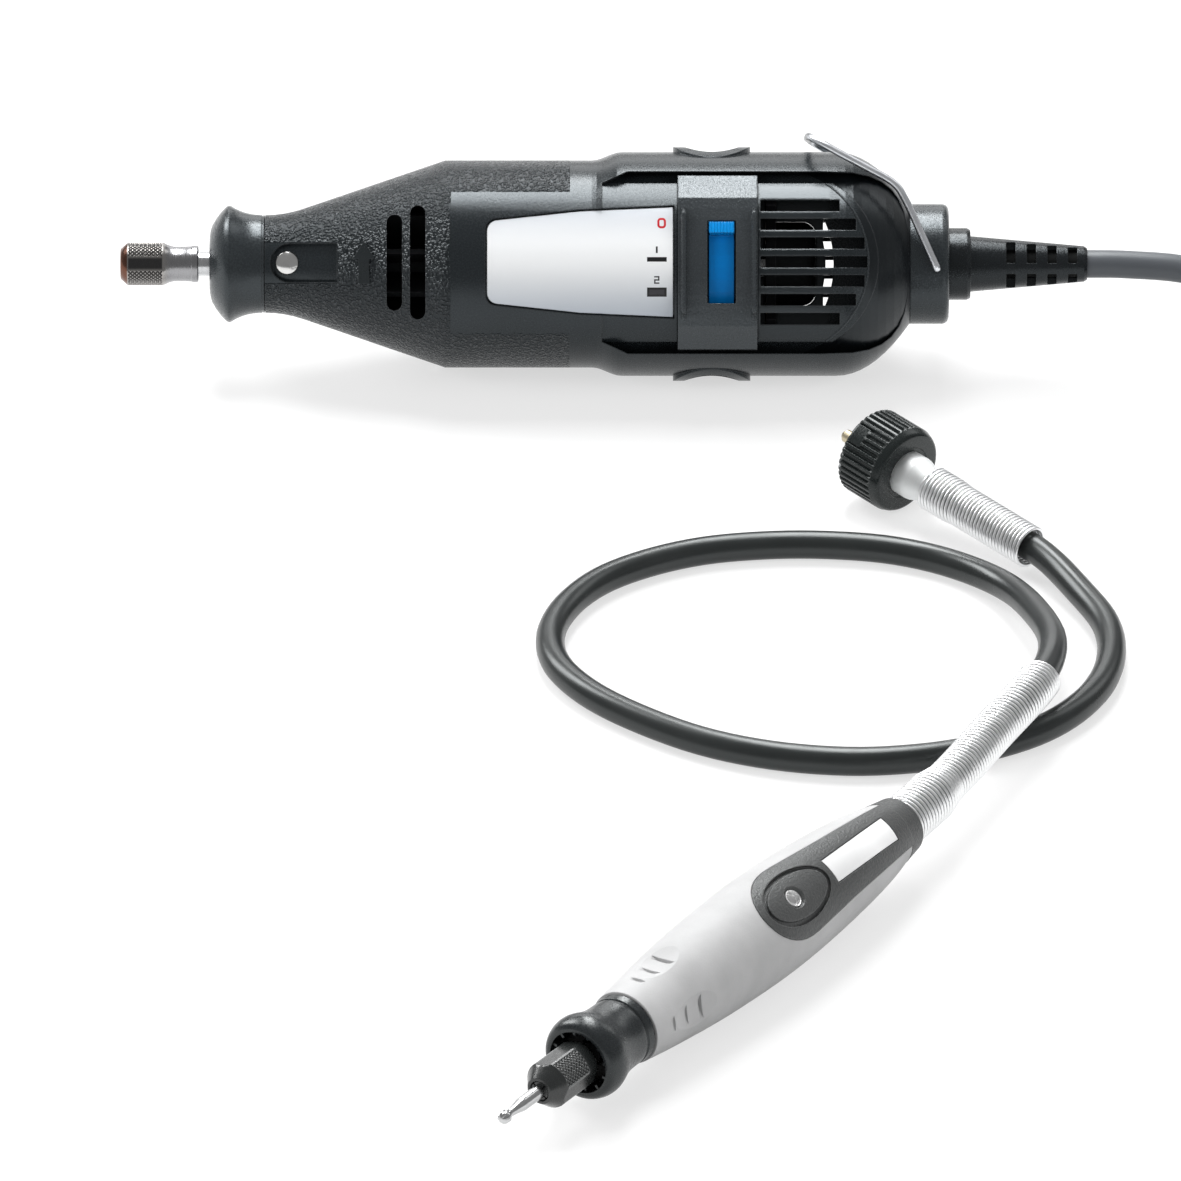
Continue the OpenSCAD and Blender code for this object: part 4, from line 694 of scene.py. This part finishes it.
FINISHES = {
    "body": body_plastic(),
    "saddle": plastic("saddle_plastic", (0.028, 0.032, 0.035), 0.26, size=0.55, depth=0.00011,
                      edge=0.0005, shine=0.6),
    "cap": plastic("nose_cap_plastic", (0.014, 0.017, 0.019), 0.28, size=0.6, depth=0.00004,
                   edge=0.0004, shine=0.55),
    "inner": plastic("inner_plastic", (0.008, 0.008, 0.009), 0.55, shine=0.25),
    "brush_cap": plastic("brush_cap_gloss", (0.003, 0.003, 0.0035), 0.6, depth=0.000006, play=0.06,
                         shine=0.1),
    "ring": plastic("ring_plastic", (0.015, 0.018, 0.02), 0.28, size=0.5, depth=0.00005,
                    edge=0.0005, shine=0.55),
    "mark": plastic("arrow_plastic", (0.01, 0.012, 0.013), 0.34, edge=0.0002, edge_wear_and_highlight=0.3),
    "slider": slider_blue(),
    "foil": label_foil(),
    "relief": plastic("relief_rubber", (0.006, 0.007, 0.008), 0.28, size=0.5, depth=0.00003,
                      edge=0.0004, shine=0.35),
    "nut": nut_burnish(),
    "steel": metal("ground_steel", (0.62, 0.63, 0.64), 0.22),
    "chrome": metal("button_chrome", (0.72, 0.72, 0.71), 0.16, depth=0.0000005),
    "wire": bail_wire(),
    "laminated": metal("laminated_steel", (0.3, 0.31, 0.33), 0.42, depth=0.00003),
    "copper": wound_copper(),
    "bars": metal("commutator_copper", (0.66, 0.36, 0.2), 0.3),
    "fan": plastic("fan_nylon", (0.008, 0.008, 0.009), 0.55, shine=0.25),
    "brass": metal("holder_brass", (0.72, 0.55, 0.25), 0.28),
    "carbon": plastic("brush_carbon", (0.03, 0.03, 0.032), 0.6, depth=0.00004),
    "cord": cord_rubber("cord_grey", (0.062, 0.067, 0.075), 0.42),
    "sheath": cord_rubber("sheath_rubber", (0.01, 0.0115, 0.0115), 0.3),
    "plug": plastic("plug_rubber", (0.03, 0.032, 0.035), 0.45, "table", depth=0.00004),
    "pins": metal("plug_nickel", (0.72, 0.71, 0.68), 0.24, "table"),
    "grip": plastic("grip_grey", (0.45, 0.45, 0.453), 0.62, "hand", size=0.4, depth=0.00003,
                    edge=0.0004, edge_wear_and_highlight=0.05),
    "panel": plastic("panel_black", (0.052, 0.053, 0.053), 0.4, "hand", size=0.6, depth=0.0002,
                     edge=0.0004, edge_wear_and_highlight=0.3),
    "collar": plastic("collar_black", (0.011, 0.013, 0.0145), 0.3, "hand", size=0.6,
                      depth=0.00001, edge=0.0002),
    "sticker": plastic("sticker_white", (0.84, 0.845, 0.85), 0.35, "hand", depth=0.000004,
                       edge=0.0002, edge_wear_and_highlight=0.0, play=0.05),
    "hand_core": core_alloy(),
    "hand_steel": metal("handpiece_steel", (0.62, 0.625, 0.63), 0.2, "hand", depth=0.0000005),
    "hand_nut": blackened_nut(),
    "spring": spring_steel("spring_steel", "table"),
    "ferrule": metal("ferrule_alloy", (0.97, 0.985, 0.985), 0.66, "coupling", depth=0.000003,
                     stain=0.02),
    "coupling": plastic("coupling_black", (0.007, 0.0095, 0.0095), 0.26, "coupling", size=0.5,
                        depth=0.00001, edge=0.0002, edge_wear_and_highlight=0.5, shine=0.4),
    "tip": metal("drive_tip_brass", (0.6, 0.53, 0.38), 0.36, "coupling"),
}

# the nodes of each finish
NODES_OF = {
    "body": "housing_label_half housing_back_half",
    "steel": "housing_screws collet spindle front_bearing rear_bearing", "foil": "side_label",
    "saddle": "switch_saddle", "inner": "switch_module bearing_bracket cord_clamp",
    "slider": "switch_slider", "chrome": "lock_button", "cap": "nose_cap", "nut": "collet_nut",
    "laminated": "armature_core stator_core", "copper": "armature_windings field_coils",
    "bars": "commutator", "fan": "cooling_fan", "brass": "brush_holders", "carbon": "carbon_brushes",
    "brush_cap": "brush_cap_top brush_cap_bottom", "ring": "hanger_ring", "wire": "hanger_bail",
    "relief": "strain_relief", "plug": "cord_tie plug_body", "pins": "plug_pins",
    "hand_core": "hand_core", "grip": "hand_grip", "panel": "hand_panel", "sticker": "panel_label",
    "collar": "hand_collar",
    "hand_steel": "hand_front_bearing hand_rear_bearing hand_spindle ball_cutter",
    "hand_nut": "hand_collet hand_nut", "ferrule": "coupling_ferrule", "coupling": "coupling_nut",
    "tip": "drive_tip",
}


def dress(piece, key):
    piece.data.materials.clear()
    piece.data.materials.append(FINISHES[key])


for key, names in NODES_OF.items():
    for node_name in names.split():
        dress(NODES[node_name], key)
dress(mains, "cord")
dress(sheath, "sheath")


# ---- mesh making ----

def new_piece(name, shape, body, replaced, key, smooth=True, sharp=32):
    """A mesh from points in millimetres of the row frame and faces, riding on a body."""
    points, faces = shape
    mesh = bpy.data.meshes.new(name)
    mesh.from_pydata([metres(p) for p in points], [], faces)
    mesh.validate()
    for face in mesh.polygons:
        face.use_smooth = smooth
    mesh.set_sharp_from_angle(angle=radians(sharp))
    piece = show(name, mesh)
    mesh.materials.append(FINISHES[key])
    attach(piece, body)
    if replaced:
        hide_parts(*replaced)


def lathe(matrix, sides, outer, inner=(), shape=None):
    """Points and faces of a closed profile of (station, radius) swept round the axis.

    shape(x, r, a) gives the outer radius at an angle: 0 is along local y and 90 degrees along z."""
    points, faces = [], []
    profile = outer + list(inner)
    n = len(profile)
    for i, (x, r) in enumerate(profile):
        for j in range(sides):
            a = 2 * pi * j / sides
            r_here = shape(x, r, a) if shape and i < len(outer) else r
            points.append(matrix @ Vector((x, r_here * cos(a), r_here * sin(a))))
    for i in range(n):
        for j in range(sides):
            k, m = (i + 1) % n, (j + 1) % sides
            faces.append((i * sides + j, i * sides + m, k * sides + m, k * sides + j))
    return points, faces


def moved(x, *profile):
    """A profile of (station, radius) moved along the axis."""
    return [(x + station, r) for station, r in profile]


def swept(path, radius, sides):
    """Closed tube along points in millimetres, with flat ends."""
    points, faces = [], []
    n = len(path)
    normal = None
    for i in range(n):
        ahead = (path[min(n - 1, i + 1)] - path[max(0, i - 1)]).normalized()
        if normal is None:
            normal = ahead.cross(Vector((0.13, 0.21, 0.97))).normalized()
        normal = (normal - ahead * normal.dot(ahead)).normalized()
        other = ahead.cross(normal)
        for j in range(sides):
            a = 2 * pi * j / sides
            points.append(path[i] + radius * (cos(a) * normal + sin(a) * other))
    for i in range(n - 1):
        for j in range(sides):
            m = (j + 1) % sides
            faces.append((i * sides + j, (i + 1) * sides + j, (i + 1) * sides + m, i * sides + m))
    faces.append(tuple(range(sides)))
    faces.append(tuple(reversed(range((n - 1) * sides, n * sides))))
    return points, faces


def spread(a, b, count):
    return [a + (b - a) * i / (count - 1) for i in range(count)]


def angle_from(a, centre):
    """Signed turn in degrees from a centre angle, between -180 and 180."""
    return (degrees(a) - centre + 180) % 360 - 180


def diamond(x, along, pitch, depth):
    """Height of crossed cuts at a station and a distance round, 0 at the crest."""
    u = ((x + along) / pitch) % 1
    v = ((x - along) / pitch) % 1
    cut = max(abs(u - 0.5), abs(v - 0.5)) * 2
    return -depth * max(0.0, (cut - 0.45) / 0.55)


# ---- collet nut ----

NUT_R = 5.15


def nut_radius(x, r, a):
    """Knurled barrel with three smooth flats, one of them on the label side."""
    off = min(abs(angle_from(a, c)) for c in (180, 300, 60))
    flat = NUT_R * 0.93
    if x < 10.9 and off < 60:
        face = flat / cos(radians(off))
        if face < r:
            return face
    if 1.9 < x < 10.1:
        return r + diamond(x, radians(off) * NUT_R, 1.0, 0.32)
    return r


def make_collet_nut():
    outer = [(0, 3.45), (0.05, 3.62), (0.9, 4.4), (1.62, 5.06), (1.75, 5.15)]
    outer += [(x, NUT_R) for x in spread(1.85, 10.1, 100)]
    outer += [(10.3, 5.12), (10.9, 4.85), (11.6, 4.5), (12.1, 4.36), (12.8, 4.2), (13.6, 4.15),
              (15.6, 4.15), (15.8, 4.2), (17.0, 4.24), (17.2, 4.38), (18.2, 4.42), (18.55, 4.32),
              (18.7, 4.1)]
    inner = [(18.7, 3.6), (3.5, 3.6), (1.2, 2.3), (0.25, 2.3), (0.0, 2.55)]
    new_piece("knurled_collet_nut", lathe(TOOL, 300, outer, inner, nut_radius), "collet_nut",
              ["collet_nut"], "nut")


make_collet_nut()


# ---- nose cap ----

CAP_X = 21.4


def make_nose_cap():
    waist = [(5.3 + 7.3 * i / 12, 11.8 + 2.0 * (1 - i / 12) ** 2.2) for i in range(1, 12)]
    outer = moved(CAP_X, (0.05, 6.9), (0.25, 8.0), (0.6, 9.2), (1.6, 10.9), (2.8, 12.5), (3.6, 13.35),
                  (4.2, 13.85), (4.7, 14.03), (5.2, 13.9), *waist, (12.55, 11.78), (12.67, 11.62),
                  (12.87, 11.6), (12.97, 11.74), (13.15, 11.74), (13.25, 11.6))
    inner = moved(CAP_X, (13.25, 9.7), (4.6, 9.6), (4.6, 3.75), (0, 3.75), (0, 4.6), (0.35, 4.9),
                  (0.35, 6.3))
    new_piece("flared_nose_cap", lathe(TOOL, 128, outer, inner), "nose_cap", ["nose_cap"],
              "cap")


make_nose_cap()


# ---- springs ----

SPRING_WIRE_R = 0.43
NECK = 0.22            # share of a spring's length before it narrows
NECK_LEN = 0.08


def make_spring(name, route, u0, u1, curls, r0, r1, replaced):
    """Wire wound round a route between two places on it, from radius r0 to r1."""
    steps = curls * 30
    path = []
    for i in range(steps + 1):
        share = i / steps
        u = u0 + (u1 - u0) * share
        middle, ahead = route_value(route, u), route_heading(route, u)
        side = Vector((0, 0, 1)).cross(ahead).normalized()
        up = ahead.cross(side)
        r = r0 + (r1 - r0) * min(1.0, max(0.0, (share - NECK) / NECK_LEN)) + 0.1
        a = 2 * pi * curls * share
        path.append(middle + r * (cos(a) * side + sin(a) * up))
    new_piece(name, swept(path, SPRING_WIRE_R, 10), "flex", [replaced], "spring",
              sharp=60)


make_spring("handpiece_spring", SHEATH_ROUTE, 1.02, 4, 59, 5.6, 4.6, "hand_spring")
TAIL_ROUTE = [coupling_point(x) for x in spread(29.6, 62.5, 3)]
make_spring("coupling_guard_spring", TAIL_ROUTE, 0, 2, 31, 4.9, 4.6, "coupling_spring")


# ---- hanger bail ----

BAIL_X = 195.3
BAIL_Y = 15.7
BAIL_WIRE_R = 0.9
BAIL_SIDE = [(0.2, -0.6, 0), (-3.4, 7.3, 0), (-7, 15, 0), (-9.8, 19, 0), (-16, 22.6, 0), (-22.4, 26, 0),
             (-27.6, 28.9, 1), (-30, 30.3, 5.4)]


def bail_point(p, side):
    return (BAIL_X + p[0], side * (BAIL_Y - p[2]), p[1])


def make_bail():
    route = [bail_point(p, 1) for p in BAIL_SIDE] + [bail_point((-30, 30.3, BAIL_Y), 1)]
    route += [bail_point(p, -1) for p in reversed(BAIL_SIDE)]
    arm = route_points(route, 0, 150)

    def end(corner, following, side):
        """Short bend from the arm into the ring's hole."""
        ahead = (following - corner).normalized()
        inward = Vector((0, -side, 0))
        turns = [radians(90 * i / 6) for i in range(7)]
        bend = [corner - ahead * (BAIL_WIRE_R * sin(a)) + inward * (BAIL_WIRE_R * (1 - cos(a)))
                for a in turns]
        return [bend[-1] + inward * d for d in (2.3, 1.2)] + bend[::-1]

    path = end(arm[0], arm[1], 1) + arm[1:-1] + end(arm[-1], arm[-2], -1)[::-1]
    new_piece("wire_bail", swept([TOOL @ p for p in path], BAIL_WIRE_R, 16), "hanger_bail",
              ["hanger_bail"], "wire")


make_bail()


# ---- coupling nut ----

COUPLING_RIBS = 40
COUPLING_NUT_X = 8.2


def rib_radius(x, r, a):
    """Ribs round the nut, fading into a smooth rear band and into a small smooth patch."""
    patch = abs(angle_from(a, 131)) < 1.5 * 360 / COUPLING_RIBS and x < COUPLING_NUT_X + 4.6
    turn_share = (a * COUPLING_RIBS / (2 * pi)) % 1
    crest = min(1.0, max(0.0, (0.5 - abs(turn_share - 0.5)) * 4.2 - 0.35))
    if patch:
        crest = 0.86
    fade = min(1.0, max(0.0, (COUPLING_NUT_X + 10.9 - x) / 0.7))
    fade *= min(1.0, max(0.3, (x - COUPLING_NUT_X) / 0.5))
    return r - 0.75 * (1 - crest) * fade


def make_coupling_nut():
    r = COUPLING_R
    outer = moved(COUPLING_NUT_X, (0, r - 1.5), (0.12, r - 0.7), (0.4, r - 0.25), (0.8, r),
                  *[(x, r) for x in spread(1.1, 10.9, 24)], (11.15, r - 0.12), (12.1, r - 0.4),
                  (12.7, r - 0.75), (12.95, r - 1.15), (13.0, r - 1.5))
    inner = moved(COUPLING_NUT_X, (13.0, 6.6), (12.7, 6.3), (12.7, 5.5), (9.5, 5.5), (9.5, 9.6),
                  (0.6, 9.6), (0, 9.25))
    new_piece("ribbed_coupling_nut", lathe(COUPLING, COUPLING_RIBS * 12, outer, inner, rib_radius),
              "coupling_nut", ["coupling_nut"], "coupling")


make_coupling_nut()


# ---- handpiece nut and cutter ----

HAND_NUT_X = 15.0
HAND_NUT_R = 5.5
BALL_R = 1.6


def hand_nut_radius(x, r, a):
    """Three smooth flats with knurled arcs between them, one arc towards the panel side."""
    off = min(abs(angle_from(a, c)) for c in (156, 276, 36))
    flat = HAND_NUT_R * 0.92 / cos(radians(off))
    if flat < r:
        return flat
    knurled = HAND_NUT_X + 3.7 < x < HAND_NUT_X + 12
    if knurled and off > 27:
        return r + diamond(x, radians(angle_from(a, 96)) * HAND_NUT_R, 1.05, 0.34)
    return r


def make_hand_nut():
    r = HAND_NUT_R
    outer = moved(HAND_NUT_X, (0, 2.8), (0.12, 3.15),
                  *[(0.12 + 3.2 * t, 3.15 + 2.2 * t) for t in spread(0.1, 1, 8)], (3.45, r),
                  *[(x, r) for x in spread(3.6, 12.1, 90)], (14.9, r), (15.3, r - 0.2), (15.5, r - 0.5))
    inner = moved(HAND_NUT_X, (15.5, 3.6), (3.5, 3.6), (1.2, 2.3), (0.3, 2.3), (0, 2.5))
    new_piece("handpiece_collet_nut", lathe(HAND, 280, outer, inner, hand_nut_radius), "hand_nut",
              ["hand_nut"], "hand_nut")


make_hand_nut()


def flute_radius(x, r, a):
    """Eight teeth on the cutting ball, each hollowed on its leading side."""
    if x > 3.1 or r < 0.3:
        return r
    tooth = (a / (2 * pi) * 8 + x * 0.16) % 1
    return r * (1 - 0.17 * (1 - tooth) ** 1.5)


def make_cutter():
    turns = [pi * i / 27 for i in range(1, 26)]
    profile = [(0.0, 0.02)] + [(BALL_R - BALL_R * cos(a), BALL_R * sin(a)) for a in turns]
    profile += [(3.4, 0.92), (4.4, 0.98), (6, 1.2), (7.6, 1.5), (8.2, 1.58), (8.6, 1.6), (27.6, 1.6),
                (28, 1.3), (28, 0.02)]
    new_piece("fluted_ball_cutter", lathe(HAND, 96, profile, shape=flute_radius), "hand_rotor",
              ["ball_cutter"], "hand_steel")


make_cutter()


# ---- handpiece collar ----

COLLAR_X = 30.2


def smooth_profile(knots, steps):
    """Stations and radii of a smooth curve through the knots."""
    curve = route_points([(x, r, 0) for x, r in knots], 0, (len(knots) - 1) * steps)
    return [(point.x, point.y) for point in curve]


def make_collar():
    """Flared and waisted front collar, open at its mouth."""
    flare = smooth_profile([(0, 8.2), (0.45, 8.9), (1.3, 9.45), (2.8, 9.9), (4.4, 9.95), (6, 9.6),
                            (8.5, 8.82), (11.5, 8.3), (15.4, 8.15)], 6)
    outer = moved(COLLAR_X, *flare, (15.7, 8.1), (15.95, 7.88), (16.1, 7.88), (16.4, 8.2),
                  (17.4, 8.32), (18.15, 8.38), (18.4, 8.25))
    inner = moved(COLLAR_X, (18.4, 7.66), (6, 7.66), (6, 7.4), (0, 7.4), (-0.02, 7.75))
    new_piece("flared_collar", lathe(HAND, 112, outer, inner), "hand_collar", ["hand_collar"],
              "collar")


make_collar()


def make_collar_fins():
    """Cooling fins inside the collar's mouth."""
    points, faces = [], []
    for k in range(12):
        a = radians(360 * k / 12 + 8)
        out = Vector((0, cos(a), sin(a)))
        across = Vector((0, -sin(a), cos(a)))
        base = len(points)
        for x in (30.9, 36.1):
            for r in (6.35, 7.45):
                for s in (-0.32, 0.32):
                    points.append(HAND @ (Vector((x, 0, 0)) + out * r + across * s))
        for quad in ((0, 1, 3, 2), (4, 6, 7, 5), (0, 4, 5, 1), (2, 3, 7, 6), (0, 2, 6, 4), (1, 5, 7, 3)):
            faces.append(tuple(base + q for q in quad))
    new_piece("collar_fins", (points, faces), "hand_collar", [], "collar", smooth=False)


make_collar_fins()


# ---- eyelet of the lock-pin hole ----

def make_eyelet():
    """Metal lining of the hole in the thumb island."""
    upright = HAND @ Matrix.Translation((105, 0, 0)) @ turn(-90, "Y")
    profile = [(10.2, 2.17), (11.75, 2.17), (11.9, 2.1), (11.95, 1.95), (11.85, 1.82), (11.6, 1.76),
               (10.75, 1.7), (10.5, 1.45), (10.42, 0.9), (10.4, 0.03), (10.2, 0.03)]
    new_piece("lock_hole_eyelet", lathe(upright, 64, profile), "flex", [], "hand_core")


make_eyelet()


# ---- direction mark on the cone ----

NECK_X, NECK_R, CONE_X, CONE_SLOPE = 34.8, 11.75, 44.0, 13.15 / 38.6


def cone_radius(x):
    if x < CONE_X:
        return NECK_R + CONE_SLOPE * (x - NECK_X) ** 2 / 18.4
    return NECK_R + CONE_SLOPE * (x - CONE_X + 4.6)


def make_arrow():
    """Raised arrow by the lock button, laid on the cone."""
    outline = [(57.4, -5.1), (60.0, -5.1), (60.0, 0.9), (61.4, 0.9), (58.7, 5.0), (56.0, 0.9), (57.4, 0.9)]
    rim = []
    for a, b in zip(outline, outline[1:] + outline[:1]):
        count = max(1, int(dist(a, b) / 0.5))
        rim += [(a[0] + (b[0] - a[0]) * i / count, a[1] + (b[1] - a[1]) * i / count) for i in range(count)]

    def on_cone(x, z, rise):
        r = cone_radius(x) + rise
        return TOOL @ Vector((x, -sqrt(r * r - z * z), z))

    n = len(rim)
    points = [on_cone(x, z, -0.3) for x, z in rim] + [on_cone(x, z, 0.3) for x, z in rim]
    faces = [(i, (i + 1) % n, n + (i + 1) % n, n + i) for i in range(n)]
    faces.append(tuple(range(n, 2 * n)))
    new_piece("direction_arrow", (points, faces), "housing", [], "mark", smooth=False)


make_arrow()


# ---- lip of the arch behind the vents ----

def laid_on(node_name, line):
    """Points of a line over the label side, dropped straight in until they meet a piece."""
    shell = NODES[node_name].data
    tree = BVHTree.FromPolygons([v.co for v in shell.vertices], [p.vertices for p in shell.polygons])
    inward = (TOOL.to_3x3() @ Vector((0, 1, 0))).normalized()
    path = []
    for x, z in line:
        met = tree.ray_cast(Vector(metres(TOOL @ Vector((x, -60, z)))), inward)[0]
        if met is not None:
            path.append(met / MM)
    return path


def make_arch_lip():
    """Thin raised lip that frames the rear ends of the vents."""
    turns = [radians(a) for a in spread(-56, 56, 61)]
    line = [(ARCH_X + ARCH_R * cos(a), ARCH_R * sin(a)) for a in turns]
    new_piece("arch_lip", swept(laid_on("housing_label_half", line), 0.28, 10), "housing", [],
              "ring")


def make_saddle_lips():
    """Raised lips along the front and the rear edge of the switch saddle."""
    for name, x in (("saddle_front_lip", 135.2), ("saddle_rear_lip", 152.0)):
        line = [(x, z) for z in spread(-13.6, 12.8, 40)]
        new_piece(name, swept(laid_on("switch_saddle", line), 0.62, 12), "housing", [],
                  "saddle")


make_saddle_lips()
make_arch_lip()


# ---- floor and lights ----

FLOOR_HALF = 12.0


def lay_floor():
    """White paper: pale to the camera and in reflections, where the object's shadow stays on it."""
    corners = [(x * FLOOR_HALF, y * FLOOR_HALF, 0) for x, y in ((-1, -1), (1, -1), (1, 1), (-1, 1))]
    mesh = bpy.data.meshes.new("floor")
    mesh.from_pydata(corners, [], [(0, 1, 2, 3)])
    ground = show("floor", mesh)
    paper = Finish("floor_paper", (0.9, 0.9, 0.9), 0.9)
    tree = paper.tree
    path = tree.nodes.new("ShaderNodeLightPath").outputs
    mirrored = maths(tree, "MAXIMUM", path["Is Glossy Ray"], path["Is Transmission Ray"])
    seen = maths(tree, "MAXIMUM", path["Is Camera Ray"], mirrored)
    paper.set("Base Color", blend_colours(tree, seen, (0.42, 0.42, 0.42), (0.36, 0.36, 0.36)))
    paper.set("Emission Color", blend_colours(tree, seen, (0.0, 0.0, 0.0), (0.62, 0.62, 0.62)))
    paper.shader.inputs["Emission Strength"].default_value = 1.0
    paper.sheen(0.0)
    mesh.materials.append(paper.material)


# name, place, aim, size and power; the fills stay out of reflections
LAMPS = (
    ("main_softbox", (0.0, 0.98, 1.5), (0, 0.18, 0.03), (0.55, 1.25), 32),
    ("rear_softbox", (-0.1, 2.2, 0.72), (0, 0.18, 0.03), (1.5, 0.7), 5.5),
    ("cone_softbox", (-1.1, 0.98, 1.1), (-0.05, 0.18, 0.03), (0.6, 1.0), 21),
    ("tail_softbox", (1.1, 0.98, 1.1), (0.0, 0.18, 0.03), (0.6, 1.0), 3),
    ("left_fill", (-1.9, -1.0, 1.1), (0, 0, 0), (1.4, 1.2), 26),
    ("right_fill", (1.9, -1.0, 1.1), (0, 0, 0), (1.4, 1.2), 23),
)


def light_studio():
    world = bpy.data.worlds.new("studio")
    bpy.context.scene.world = world
    world.use_nodes = True
    sky = world.node_tree.nodes["Background"]
    sky.inputs["Color"].default_value = (1, 1, 1, 1)
    sky.inputs["Strength"].default_value = 0.3
    for name, place, aim, size, power in LAMPS:
        lamp = bpy.data.lights.new(name, "AREA")
        lamp.shape = "RECTANGLE"
        lamp.size, lamp.size_y = size
        lamp.energy = power
        holder = show(name, lamp)
        holder.location = place
        holder.rotation_euler = (Vector(aim) - Vector(place)).to_track_quat("-Z", "Y").to_euler()
        holder.visible_camera = False
        holder.visible_glossy = not name.endswith("fill")


lay_floor()
light_studio()
bpy.context.scene.view_settings.view_transform = "Standard"
